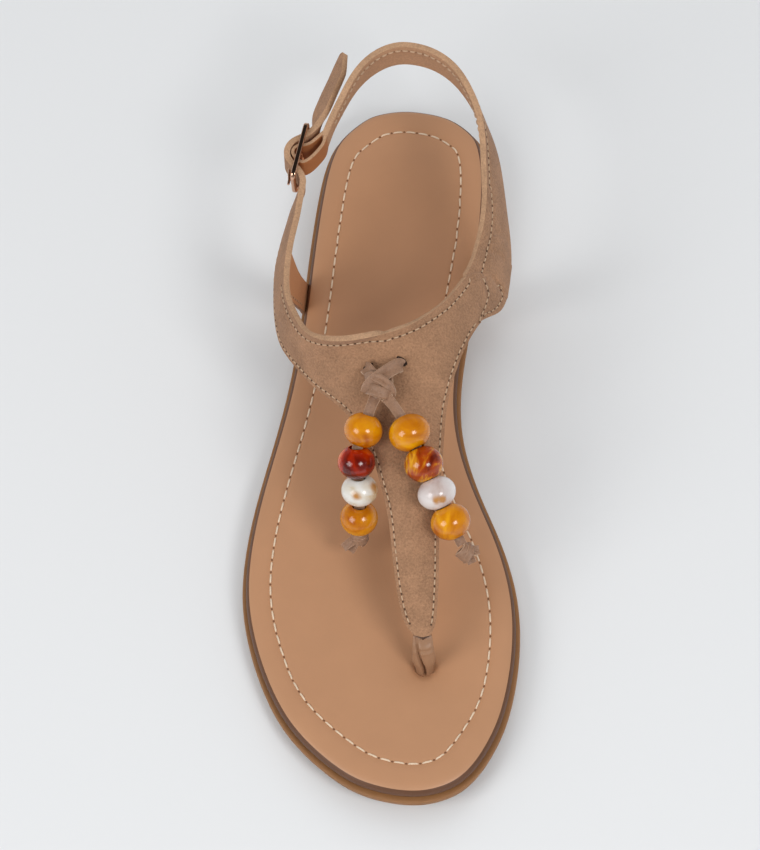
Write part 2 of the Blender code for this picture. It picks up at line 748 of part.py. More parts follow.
def make_tie_end(side, points, beads, lace, bead_finishes):
    """One hanging end: the lace, its beads and the knot that stops them."""
    route = spline(points, CORD_STEPS)
    tube("tie_end_" + side, route, TIE_RADIUS, parts, lace)
    for number, row in enumerate(beads):
        start = along_route(route, row.place - row.length / 2)
        end = along_route(route, row.place + row.length / 2)
        along = (end - start).normalized()
        spot = (start + end + 2 * along_route(route, row.place)) / 4
        name = "bead_%s_%d" % (side, number + 1)
        bead = turned(name, bead_profile(row), BEAD_SIDES, parts, bead_finishes[number])
        turn = along.to_track_quat("Z", "Y").to_matrix().to_4x4()
        bead.matrix_world = Matrix.Translation(spot * MM) @ turn
    along = (route[-1] - route[-2]).normalized()
    spot = route[-1] + along * (KNOT_SIZE[2] + GAP)
    mesh = bpy.data.meshes.new("end_knot_" + side)
    work = bmesh.new()
    bmesh.ops.create_uvsphere(work, u_segments=12, v_segments=8, radius=1.0)
    bmesh.ops.scale(work, vec=Vector(KNOT_SIZE) * MM, verts=work.verts)
    work.to_mesh(mesh)
    work.free()
    knot = place("end_knot_" + side, mesh, parts, lace)
    turn = along.to_track_quat("Z", "Y").to_matrix().to_4x4()
    knot.matrix_world = Matrix.Translation(spot * MM) @ turn


for old in list(bpy.data.objects):
    bpy.data.objects.remove(old)
parts = bpy.data.collections.new("sandal")
helpers = bpy.data.collections.new("sandal_helpers")
bpy.context.scene.collection.children.link(parts)
bpy.context.scene.collection.children.link(helpers)

suede = material("suede", SUEDE, 0.9)
sole_layer("outsole", OUTSOLE_EDGE, 0.0, outsole_bottom, outsole_top,
           material("sole_rubber", SOLE_BROWN, 0.6))
footbed = sole_layer("footbed", FOOTBED_EDGE, RIM_WIDTH, footbed_bottom, footbed_top,
                     material("footbed_skin", FOOTBED_TAN, 0.5))
hole_rows = [TOE_POST[0]._replace(z=TOE_POST[0].z - POST_HOLE_DEEPER), *TOE_POST[1:3]]
boolean(footbed, post_solid("post_hole", post_rings(GAP, hole_rows), helpers), "DIFFERENCE")
make_upper(suede)
post_solid("toe_post", post_rings(0.0, TOE_POST), parts, material("post_strip", POST_BROWN, 0.5))
plating = material("rose_gold", ROSE_GOLD, 0.2, 1.0)
make_frame(plating)
prong_run = [buckle_place(row.u, row.v, BUCKLE_CENTRE.z) for row in PRONG]
tube("buckle_prong", prong_run, PRONG_DIAMETER / 2, parts, plating)
lace = material("lace", SUEDE, 0.9)
make_tie_knot(lace)
bead_finishes = [material("bead_%d" % n, colour, 0.15) for n, colour in enumerate(BEAD_COLOURS)]
make_tie_end("lateral", LATERAL_END, LATERAL_BEADS, lace, bead_finishes)
make_tie_end("medial", MEDIAL_END, MEDIAL_BEADS, lace, bead_finishes)
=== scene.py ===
"""Looks of a flat T-strap thong sandal with a beaded tie, right shoe of a pair.

Sizes and places are in millimetres unless a name says otherwise, and become metres when a
mesh is made. The toe points along -Y, +X is the inner (medial) side and +Z is up.
"""
import math

import bmesh
import bpy
from mathutils import Matrix, Vector
from mathutils.bvhtree import BVHTree
from mathutils.kdtree import KDTree


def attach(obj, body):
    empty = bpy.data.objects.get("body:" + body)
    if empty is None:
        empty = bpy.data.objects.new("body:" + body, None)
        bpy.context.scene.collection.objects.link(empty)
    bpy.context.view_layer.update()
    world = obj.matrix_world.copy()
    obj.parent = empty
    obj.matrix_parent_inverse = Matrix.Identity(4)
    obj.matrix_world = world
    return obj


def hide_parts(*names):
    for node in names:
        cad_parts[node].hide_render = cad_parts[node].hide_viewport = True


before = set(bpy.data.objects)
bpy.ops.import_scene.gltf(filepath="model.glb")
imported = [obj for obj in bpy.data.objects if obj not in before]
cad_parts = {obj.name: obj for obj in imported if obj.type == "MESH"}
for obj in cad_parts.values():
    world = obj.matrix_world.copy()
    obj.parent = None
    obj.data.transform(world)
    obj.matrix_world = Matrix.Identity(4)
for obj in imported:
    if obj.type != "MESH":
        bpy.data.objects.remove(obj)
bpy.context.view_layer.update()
scene = bpy.context.scene
MM = 0.001

# Camera: the photograph looks down at the shoe at 60 degrees from in front of the toes. The
# camera stands where it was taken from, is turned to the one shoe and closes in on it.
EYE = Vector((45.0, -577.0, 866.0))
AIM = Vector((-5.8, -98.9, 20.0))
LOOKING_DOWN = math.radians(60)
FOCUS_PIXELS = 3050.0
FRAME_PIXELS = 850.0
camera_data = bpy.data.cameras.new("camera")
camera_data.lens = FOCUS_PIXELS / FRAME_PIXELS * camera_data.sensor_width
camera = bpy.data.objects.new("camera", camera_data)
scene.collection.objects.link(camera)
scene.camera = camera
photo_sight = Vector((0.0, math.cos(LOOKING_DOWN), -math.sin(LOOKING_DOWN)))
photo_up = Vector((0.0, math.sin(LOOKING_DOWN), math.cos(LOOKING_DOWN)))
sight = (AIM - EYE).normalized()
turn_to_shoe = photo_sight.rotation_difference(sight)
camera_axes = (turn_to_shoe @ Vector((1.0, 0.0, 0.0)), turn_to_shoe @ photo_up, -sight)
camera.matrix_world = Matrix.Translation(EYE * MM) @ Matrix(camera_axes).transposed().to_4x4()

# Studio: a pale seamless floor, even light from a room all round, a soft box on either side of
# the camera for the two highlights on each bead, and a weaker one behind the heel.
FLOOR_PALE = (223, 224, 225)
FLOOR_SIZE = 6000.0
ROOM_STRENGTH = 0.56
ROOM_WHITE = (0.97, 0.985, 1.0, 1.0)
# In gloss the room shows pale walls up to these heights, as shares of straight up, then a dark
# ceiling
WALL_TOP = (0.35, 0.6)
WALL_GLOSS = 0.36
CEILING_GLOSS = 0.02
# name, direction from the shoe, size, watts, and whether gloss shows it
SOFT_BOXES = (
    ("soft_box_left", (-0.66, -0.50, 0.62), 620.0, 6.1, True),
    ("soft_box_right", (0.50, -0.52, 0.74), 400.0, 5.7, True),
    ("soft_box_rear", (0.05, 0.62, 0.78), 900.0, 2.6, False),
)
SOFT_BOX_DISTANCE = 1300.0
scene.view_settings.view_transform = "Standard"


def linear(colour):
    """A colour as seen (sRGB, 0 to 255), turned into the linear values a shader takes."""
    shares = [part / 255 for part in colour]
    return [s / 12.92 if s <= 0.04045 else ((s + 0.055) / 1.055) ** 2.4 for s in shares] + [1.0]


def place(name, data):
    piece = bpy.data.objects.new(name, data)
    scene.collection.objects.link(piece)
    return piece


def add_node(tree, kind, inputs=None, **settings):
    """A shader node with its sockets and settings filled in; a linked socket is given as a socket."""
    node = tree.nodes.new(kind)
    for name, value in settings.items():
        setattr(node, name, value)
    for name, value in (inputs or {}).items():
        if isinstance(value, bpy.types.NodeSocket):
            tree.links.new(value, node.inputs[name])
        else:
            node.inputs[name].default_value = value
    return node


def new_finish(name, **sockets):
    """A material with its Principled shader; the constants are set on the shader's own sockets."""
    finish = bpy.data.materials.new(name)
    finish.use_nodes = True
    shader = finish.node_tree.nodes["Principled BSDF"]
    for socket, value in sockets.items():
        shader.inputs[socket.replace("_", " ")].default_value = value
    return finish, finish.node_tree, shader


def make_grain_group():
    """Fine grain and wide clouds over a colour, with the grain as a height."""
    group = bpy.data.node_groups.new("grain", "ShaderNodeTree")
    face = group.interface
    face.new_socket("Colour", in_out="INPUT", socket_type="NodeSocketColor")
    for name in ("Fine Scale", "Fine Depth", "Cloud Scale", "Cloud Depth"):
        face.new_socket(name, in_out="INPUT", socket_type="NodeSocketFloat")
    face.new_socket("Colour", in_out="OUTPUT", socket_type="NodeSocketColor")
    face.new_socket("Height", in_out="OUTPUT", socket_type="NodeSocketFloat")
    given = group.nodes.new("NodeGroupInput").outputs
    where = group.nodes.new("ShaderNodeTexCoord").outputs["Object"]
    tones = []
    for kind, detail in (("Fine", 5.0), ("Cloud", 3.0)):
        texture = add_node(group, "ShaderNodeTexNoise", {
            "Vector": where, "Scale": given[kind + " Scale"], "Detail": detail, "Roughness": 0.62})
        centred = add_node(group, "ShaderNodeMath", {0: texture.outputs["Fac"], 1: 0.5},
                           operation="SUBTRACT")
        tones.append(add_node(group, "ShaderNodeMath", {
            0: centred.outputs[0], 1: given[kind + " Depth"], 2: 0.5}, operation="MULTIPLY_ADD"))
        if kind == "Fine":
            height = texture.outputs["Fac"]
    total = add_node(group, "ShaderNodeMath", {0: tones[0].outputs[0], 1: tones[1].outputs[0]})
    shaded = add_node(group, "ShaderNodeVectorMath",
                      {"Vector": given["Colour"], "Scale": total.outputs[0]}, operation="SCALE")
    made = group.nodes.new("NodeGroupOutput")
    group.links.new(shaded.outputs["Vector"], made.inputs["Colour"])
    group.links.new(height, made.inputs["Height"])
    return group


grain_group = make_grain_group()


def grained(name, colour, fine, cloud, bump, **sockets):
    """A finish with grain: fine and cloud are (features a metre, depth), bump is a depth in mm."""
    finish, tree, shader = new_finish(name, **sockets)
    grain = add_node(tree, "ShaderNodeGroup", node_tree=grain_group)
    for socket, value in (("Colour", linear(colour)), ("Fine Scale", fine[0]), ("Fine Depth", fine[1]),
                          ("Cloud Scale", cloud[0]), ("Cloud Depth", cloud[1])):
        grain.inputs[socket].default_value = value
    relief = add_node(tree, "ShaderNodeBump", {
        "Height": grain.outputs["Height"], "Strength": 1.0, "Distance": bump * MM})
    tree.links.new(grain.outputs["Colour"], shader.inputs["Base Color"])
    tree.links.new(relief.outputs["Normal"], shader.inputs["Normal"])
    return finish


room = bpy.data.worlds.new("room")
room.use_nodes = True
room_tree = room.node_tree
even = room_tree.nodes["Background"]
even.inputs["Color"].default_value = ROOM_WHITE
even.inputs["Strength"].default_value = ROOM_STRENGTH
room_where = add_node(room_tree, "ShaderNodeTexCoord")
room_axes = add_node(room_tree, "ShaderNodeSeparateXYZ", {"Vector": room_where.outputs["Generated"]})
gloss = add_node(room_tree, "ShaderNodeMapRange", {
    "Value": room_axes.outputs["Z"], "From Min": WALL_TOP[0], "From Max": WALL_TOP[1],
    "To Min": WALL_GLOSS, "To Max": CEILING_GLOSS})
in_gloss = add_node(room_tree, "ShaderNodeBackground", {"Strength": gloss.outputs["Result"]})
seen = add_node(room_tree, "ShaderNodeLightPath")
chosen = add_node(room_tree, "ShaderNodeMixShader", {
    "Fac": seen.outputs["Is Glossy Ray"], 1: even.outputs[0], 2: in_gloss.outputs[0]})
room_tree.links.new(chosen.outputs[0], room_tree.nodes["World Output"].inputs["Surface"])
scene.world = room
for name, towards, size, power, seen_in_gloss in SOFT_BOXES:
    lamp = bpy.data.lights.new(name, "AREA")
    lamp.shape = "SQUARE"
    lamp.size = size * MM
    lamp.energy = power
    box = place(name, lamp)
    box.location = (AIM + Vector(towards).normalized() * SOFT_BOX_DISTANCE) * MM
    box.rotation_euler = Vector(towards).to_track_quat("Z", "Y").to_euler()
    box.visible_glossy = seen_in_gloss
floor_mesh = bpy.data.meshes.new("floor")
half_floor = FLOOR_SIZE / 2 * MM
floor_mesh.from_pydata([(-half_floor, -half_floor, 0.0), (half_floor, -half_floor, 0.0),
                        (half_floor, half_floor, 0.0), (-half_floor, half_floor, 0.0)],
                       [], [(0, 1, 2, 3)])
floor = place("floor", floor_mesh)
floor_mesh.materials.append(
    grained("floor_pale", FLOOR_PALE, (300.0, 0.01), (3.0, 0.01), 0.01, Roughness=0.8))

# Outsole: one moulding of brown rubber with a thin lip round the footbed, a parting groove
# under the lip, a low heel, an arch and a little toe spring. It carries everything else.
OUTLINE_STEPS = 11
OUTLINE_SMOOTHING = 30
INSET_CHORD = 4
# y, lateral x and medial x of the outline from heel tip to toe tip
OUTLINE = (
    (28.9, -0.8, -0.8), (27.3, -10.4, 9.2), (24.3, -15.9, 16.9), (17.2, -22.9, 24.4),
    (10.0, -26.3, 26.8), (-2.0, -28.9, 28.0), (-25.0, -31.3, 27.0), (-50.0, -33.1, 23.5),
    (-75.0, -36.1, 19.7), (-95.0, -40.1, 19.9), (-115.0, -44.7, 25.4), (-135.0, -48.0, 33.6),
    (-155.0, -48.7, 38.6), (-175.0, -44.5, 38.9), (-194.0, -36.6, 35.8), (-206.0, -27.8, 31.2),
    (-215.0, -18.0, 25.8), (-221.0, -8.0, 18.7), (-224.0, 7.0, 7.0),
)
# y and height of the faces, level at each row
SOLE_BOTTOM = (
    (40.0, 2.0), (22.0, 0.0), (-30.0, 0.0), (-70.0, 2.4), (-112.0, 0.0), (-178.0, 0.0), (-246.0, 5.0),
)
SOLE_TOP = ((-30.0, 11.0), (-115.0, 5.5), (-178.0, 5.5), (-246.0, 9.7))
# inset from the outline, the face it is measured from, height from that face
OUTSOLE_EDGE = (
    (4.5, "top", 0.0), (1.0, "top", 0.0), (0.55, "top", -0.04), (0.2, "top", -0.2), (0.0, "top", -0.6),
    (0.0, "top", -1.4), (0.2, "top", -1.75), (0.8, "top", -2.0), (0.8, "top", -2.55), (0.55, "top", -2.8),
    (0.5, "top", -3.2), (1.0, "bottom", 1.8), (1.3, "bottom", 1.2), (1.9, "bottom", 0.4),
    (2.8, "bottom", 0.0),
)
SOLE_BROWN = (146, 101, 60)


def spline(points, steps, before=None, after=None):
    """Points of a smooth curve through the given points, with so many steps to each span."""
    points = [Vector(point) for point in points]
    first = before or 2 * points[0] - points[1]
    last = after or 2 * points[-1] - points[-2]
    run = [first, *points, last]
    curve = []
    for a, b, c, d in zip(run, run[1:], run[2:], run[3:]):
        for step in range(steps):
            t = step / steps
            square = (2 * a - 5 * b + 4 * c - d) * t ** 2
            cube = (3 * (b - c) + d - a) * t ** 3
            curve.append(0.5 * (2 * b + (c - a) * t + square + cube))
    curve.append(points[-1])
    return curve


def smooth_share(low, high, value):
    """0 below low, 1 above high, eased between them."""
    t = min(1.0, max(0.0, (value - low) / (high - low)))
    return t * t * (3 - 2 * t)


def level_at(rows, y):
    """Height at y from rows that run from heel to toe, level at each row."""
    height = rows[0][1]
    for (back, _), (front, z), (_, last) in zip(rows, rows[1:], rows):
        height += (z - last) * smooth_share(-back, -front, -y)
    return height


def sole_outline():
    """The outline as a closed ring: heel tip, lateral side, toe tip, medial side."""
    rows = [Vector(row) for row in OUTLINE]
    before = Vector((rows[1][0], rows[1][2], rows[1][1]))
    after = Vector((rows[-2][0], rows[-2][2], rows[-2][1]))
    stations = spline(rows, OUTLINE_STEPS, before, after)
    lateral = [Vector((row[1], row[0])) for row in stations]
    medial = [Vector((row[2], row[0])) for row in stations]
    ring = lateral + medial[-2:0:-1]
    for _ in range(OUTLINE_SMOOTHING):
        ring = [(ring[i - 1] + 2 * ring[i] + ring[(i + 1) % len(ring)]) / 4 for i in range(len(ring))]
    return ring


def inset_ring(ring, inset):
    """The ring moved inwards by an inset, which may be worked out from y."""
    moved = []
    for index, point in enumerate(ring):
        along = ring[(index + INSET_CHORD) % len(ring)] - ring[index - INSET_CHORD]
        inwards = Vector((-along.y, along.x)).normalized()
        moved.append(point + inwards * (inset(point.y) if callable(inset) else inset))
    return moved


def mesh_piece(name, points, faces, *finishes, sharp=40.0, closed=True):
    """An object from points in millimetres; a closed one has its faces turned outwards."""
    mesh = bpy.data.meshes.new(name)
    mesh.from_pydata([Vector(point) * MM for point in points], [], faces)
    if closed:
        work = bmesh.new()
        work.from_mesh(mesh)
        bmesh.ops.recalc_face_normals(work, faces=work.faces)
        work.to_mesh(mesh)
        work.free()
    mesh.shade_smooth()
    mesh.set_sharp_from_angle(angle=math.radians(sharp))
    for finish in finishes:
        mesh.materials.append(finish)
    return place(name, mesh)


def ring_faces(start, count, next_start=None):
    """Faces between a ring of points and the next one."""
    other = start + count if next_start is None else next_start
    turns = [(index, (index + 1) % count) for index in range(count)]
    return [(start + a, start + b, other + b, other + a) for a, b in turns]


def ladder_faces(start, count):
    """Faces across a ring, from one side to the other."""
    faces = []
    for index in range(count // 2):
        corners = (index, index + 1, count - index - 1, (count - index) % count)
        faces.append([start + corner for corner in dict.fromkeys(corners)])
    return faces


def fasten(piece, slot, *nodes):
    """The piece belongs to the shoe's one body and stands for its solids; slot is not used."""
    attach(piece, "root")
    if nodes:
        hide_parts(*nodes)
    return piece


outline = sole_outline()
around = len(outline)
outsole_points = []
outsole_faces = []
for number, (inset, face, offset) in enumerate(OUTSOLE_EDGE):
    heights = SOLE_TOP if face == "top" else SOLE_BOTTOM
    outsole_points += [(x, y, level_at(heights, y) + offset) for x, y in inset_ring(outline, inset)]
    if number:
        outsole_faces += ring_faces((number - 1) * around, around)
outsole_faces += ladder_faces(0, around) + ladder_faces((len(OUTSOLE_EDGE) - 1) * around, around)
sole_rubber = grained("sole_rubber", SOLE_BROWN, (900.0, 0.22), (70.0, 0.25), 0.12, Roughness=0.55)
fasten(mesh_piece("outsole_moulding", outsole_points, outsole_faces, sole_rubber), "sole_rubber", "outsole")

# Footbed: a thin foam pad wrapped in smooth tan synthetic leather and cemented on the outsole.
# Its edge is rolled, a sewn line pulls it down all round, and it sinks round the toe post.
GAP = 0.3
FOOTBED_THICKNESS = 4.6
# The outsole shows this far past the footbed
RIM_WIDTH = 1.3
# The sewn line moves further in by these shares round toe and heel
TOE_SEAM_MORE = 0.25
HEEL_SEAM_MORE = 0.22
# Distances in front of and behind the origin over which it does so, and the insets over which
# the rolled edge passes into the top
TOE_SEAM_REACH = (185.0, 215.0)
HEEL_SEAM_REACH = (5.0, 26.0)
ROLLED_EDGE = (2.0, 6.0)
FOOTBED_COLUMNS = 56
POST_FOOT = Vector((9.6, -178.9))
POST_DIP_DEPTH = 0.9
POST_DIP_WIDTH = 8.0
POST_HOLE_DEPTH = 1.5
POST_HOLE_HALF = Vector((3.6, 2.9))
POST_HOLE_LIP = (0.75, 1.25)
FOOTBED_EDGE = (
    (1.2, "bottom", 0.0), (0.7, "bottom", 0.25), (0.4, "bottom", 0.7), (0.1, "top", -3.4), (0.0, "top", -3.0),
    (0.08, "top", -2.4), (0.28, "top", -1.85), (0.6, "top", -1.35), (1.1, "top", -0.88), (1.8, "top", -0.5),
    (2.8, "top", -0.2), (4.0, "top", -0.03), (5.2, "top", 0.02), (6.2, "top", -0.02), (6.9, "top", -0.14),
    (7.4, "top", -0.3), (7.75, "top", -0.44), (8.0, "top", -0.5), (8.25, "top", -0.44), (8.6, "top", -0.32),
    (9.2, "top", -0.26), (10.4, "top", -0.3),
)
FOOTBED_TAN = (183, 135, 99)
# The foot of the rolled edge is painted dark as the shade in the gap above the outsole's lip, over so
# many rings of the edge
PAINTED_GAP_SHADE = (98, 62, 38)
PAINTED_SHADE_RINGS = 8


def footbed_inset(inset):
    """An inset of the footbed that grows a little round toe and heel, past the rolled edge."""
    def at(y):
        at_toe = TOE_SEAM_MORE * smooth_share(*TOE_SEAM_REACH, -y)
        at_heel = HEEL_SEAM_MORE * smooth_share(*HEEL_SEAM_REACH, y)
        return RIM_WIDTH + inset * (1 + (at_toe + at_heel) * smooth_share(*ROLLED_EDGE, inset))
    return at


def post_dip(x, y):
    """How far the footbed sinks round the toe post and into its hole."""
    off = Vector((x, y)) - POST_FOOT
    wide = math.exp(-(off.length / POST_DIP_WIDTH) ** 2)
    hole = math.hypot(off.x / POST_HOLE_HALF.x, off.y / POST_HOLE_HALF.y)
    return POST_DIP_DEPTH * wide + POST_HOLE_DEPTH * (1 - smooth_share(*POST_HOLE_LIP, hole))


footbed_points = []
footbed_faces = []
for number, (inset, face, offset) in enumerate(FOOTBED_EDGE):
    lift = GAP + (FOOTBED_THICKNESS if face == "top" else 0.0) + offset
    for x, y in inset_ring(outline, footbed_inset(inset)):
        sunk = post_dip(x, y) if inset > ROLLED_EDGE[1] else 0.0
        footbed_points.append((x, y, level_at(SOLE_TOP, y) + lift - sunk))
    if number:
        footbed_faces += ring_faces((number - 1) * around, around)
footbed_faces += ladder_faces(0, around)
inner_start = (len(FOOTBED_EDGE) - 1) * around
inner_ring = [Vector(point) for point in footbed_points[inner_start:]]
flat_lift = GAP + FOOTBED_THICKNESS + FOOTBED_EDGE[-1][2]
station_columns = []
for station in range(around // 2 + 1):
    left, right = inner_ring[station], inner_ring[-station % around]
    numbers = [inner_start + station]
    if 0 < station < around // 2:
        for column in range(1, FOOTBED_COLUMNS):
            spot = left.lerp(right, column / FOOTBED_COLUMNS)
            spot.z = level_at(SOLE_TOP, spot.y) + flat_lift - post_dip(spot.x, spot.y)
            numbers.append(len(footbed_points))
            footbed_points.append(spot)
        numbers.append(inner_start + (-station % around))
    station_columns.append(numbers)
for back, front in zip(station_columns, station_columns[1:]):
    if len(back) == 1 or len(front) == 1:
        tip, row = (back, front) if len(back) == 1 else (front, back)
        footbed_faces += [(tip[0], a, b) for a, b in zip(row, row[1:])]
    else:
        footbed_faces += [(back[c], back[c + 1], front[c + 1], front[c]) for c in range(FOOTBED_COLUMNS)]
footbed_skin = grained("footbed_skin", FOOTBED_TAN, (2600.0, 0.05), (42.0, 0.16), 0.025, Roughness=0.46)
gap_shade_finish = grained("footbed_painted_shade", PAINTED_GAP_SHADE, (2600.0, 0.2), (80.0, 0.3), 0.03, Roughness=0.5)
footbed = mesh_piece("footbed_pad", footbed_points, footbed_faces, footbed_skin, gap_shade_finish, sharp=60.0)
# The lowest rings of the rolled edge take the painted shade
for face in footbed.data.polygons[:PAINTED_SHADE_RINGS * around]:
    face.material_index = 1
fasten(footbed, "footbed_skin", "footbed")

# Footbed seam: cream thread in long stitches, each dropping into a pinhole of the skin, which is
# a flat dark disc of painted shade.
# It holds the skin down on the foam and goes once round the pad.
SEAM_INSET = 8.0
FOOTBED_PITCH = 4.3
FOOTBED_THREAD = 0.6
FOOTBED_PINHOLE = 0.75
THREAD_CREAM = (222, 200, 174)
# Pinholes are drawn as flat dark discs on the skin, painted shade for the holes
PINHOLE_SHADE = (122, 84, 58)
# Each stitch in parts: height of the thread's middle and swelling of the thread at each end of
# a part, and how far the first and last are drawn in towards the next
STITCH_PARTS = 4
STITCH_HEIGHTS = (-0.3, 0.42, 0.62, 0.42, -0.3)
STITCH_SWELL = (0.6, 1.0, 1.0, 1.0, 0.6)
STITCH_ENDS_IN = 0.55
THREAD_SIDES = 6
PINHOLE_SIDES = 8
PINHOLE_LIFT = 0.1
# The pitch is a hair under an even share of the ring, so that the last stitch still fits
CLOSING_SHARE = 0.9999
THREAD_GRAIN = ((5200.0, 0.25), (300.0, 0.4), 0.06)
HOLE_GRAIN = ((3000.0, 0.3), (200.0, 0.2), 0.02)
thread_cream = grained("thread_cream", THREAD_CREAM, *THREAD_GRAIN, Roughness=0.75)
pinhole_finish = grained("pinhole_painted_shade", PINHOLE_SHADE, *HOLE_GRAIN, Roughness=0.95)


def lay_on(path, surface):
    """Places and outward directions, in millimetres, of a path brought onto a surface."""
    found = [surface.find_nearest(Vector(point) * MM) for point in path]
    return [(spot / MM, normal) for spot, normal, _, _ in found]


def evenly(line, step):
    """The line's places and directions again, a step apart."""
    spots = [line[0]]
    left = step
    for (start, first), (end, second) in zip(line, line[1:]):
        span = (end - start).length
        at = left
        while at <= span:
            share = at / span
            spots.append((start.lerp(end, share), first.lerp(second, share).normalized()))
            at += step
        left = at - span
    return spots


def sew(name, lines, pitch, thread, pinhole, slot, finish,
        ends_in=STITCH_ENDS_IN, hole_finish=pinhole_finish):
    """A row of stitches along each line, and the pinholes that they drop into, as dark discs of painted
    shade.
    """
    points, faces, holes, hole_faces = [], [], [], []
    for line in lines:
        spots = evenly(line, pitch / STITCH_PARTS)
        for first in range(0, len(spots) - STITCH_PARTS, STITCH_PARTS):
            stitch = spots[first:first + STITCH_PARTS + 1]
            ends = (stitch[0][0].lerp(stitch[1][0], ends_in), stitch[-1][0].lerp(stitch[-2][0], ends_in))
            along = (stitch[-1][0] - stitch[0][0]).normalized()
            start = len(points)
            for number, (spot, normal) in enumerate(stitch):
                across = normal.cross(along).normalized()
                middle = ends[0] if number == 0 else ends[1] if number == STITCH_PARTS else spot
                middle = middle + normal * STITCH_HEIGHTS[number] * thread / 2
                for side in range(THREAD_SIDES):
                    angle = math.tau * side / THREAD_SIDES
                    reach = across * math.cos(angle) + normal * math.sin(angle)
                    points.append(middle + reach * thread / 2 * STITCH_SWELL[number])
            for part in range(STITCH_PARTS):
                faces += ring_faces(start + part * THREAD_SIDES, THREAD_SIDES)
            last = start + STITCH_PARTS * THREAD_SIDES
            faces += [range(start, start + THREAD_SIDES)[::-1], range(last, last + THREAD_SIDES)]
            spot, normal = stitch[0]
            across = normal.cross(along).normalized()
            hole_faces.append(range(len(holes), len(holes) + PINHOLE_SIDES))
            for side in range(PINHOLE_SIDES):
                angle = math.tau * side / PINHOLE_SIDES
                reach = along * math.cos(angle) + across * math.sin(angle)
                holes.append(spot + normal * PINHOLE_LIFT + reach * pinhole / 2)
    fasten(mesh_piece(name + "_thread", points, faces, finish), slot)
    fasten(mesh_piece(name + "_pinholes", holes, hole_faces, hole_finish, closed=False), slot)


def surface_of(piece):
    return BVHTree.FromObject(piece, bpy.context.evaluated_depsgraph_get())


seam_ring = inset_ring(outline, footbed_inset(SEAM_INSET))
seam_path = [(x, y, level_at(SOLE_TOP, y) + GAP + FOOTBED_THICKNESS) for x, y in [*seam_ring, seam_ring[0]]]
footbed_line = lay_on(seam_path, surface_of(footbed))
seam_length = sum((b - a).length for (a, _), (b, _) in zip(footbed_line, footbed_line[1:]))
closing_pitch = CLOSING_SHARE * seam_length / round(seam_length / FOOTBED_PITCH)
sew("footbed_seam", [footbed_line], closing_pitch, FOOTBED_THREAD, FOOTBED_PINHOLE, "footbed_skin",
    thread_cream)

# Upper: a Y-shaped vamp with both arms, the heel strap and the buckle strap, of taupe suede on
# a thin tan lining, sewn together. On the medial arm the vamp overlaps the quarter in a V.
WALL = 2.0
# Steps across each half of a strap, and along it between two rows
ACROSS = 4
ALONG = 2
CROWN_SHARE = 0.25
# lateral edge, ridge and medial edge of the vamp's long strap, from its tip to the fork
TONGUE = (
    ((7.4, -176.4, 26.0), (9.4, -177.2, 26.3), (11.5, -176.4, 26.0)),
    ((4.3, -172.8, 26.5), (8.8, -173.2, 27.2), (13.3, -172.8, 26.5)),
    ((2.1, -165.9, 28.0), (8.0, -166.3, 29.2), (13.9, -165.9, 28.0)),
    ((0.3, -155.0, 32.0), (7.4, -155.6, 33.6), (14.3, -155.0, 32.0)),
    ((-1.5, -140.5, 38.0), (6.4, -141.4, 40.0), (14.3, -140.5, 38.0)),
    ((-4.2, -130.7, 41.5), (5.2, -132.0, 44.2), (14.7, -130.9, 42.0)),
    ((-7.0, -122.4, 44.0), (4.0, -124.0, 47.8), (15.4, -122.7, 44.5)),
    ((-14.2, -109.5, 45.5), (1.8, -111.5, 53.6), (16.4, -108.1, 48.5)),
    ((-24.8, -99.1, 43.0), (-0.7, -100.6, 59.2), (19.7, -94.7, 50.0)),
    ((-30.4, -91.4, 40.3), (-3.0, -91.8, 64.2), (22.5, -86.5, 49.4)),
)
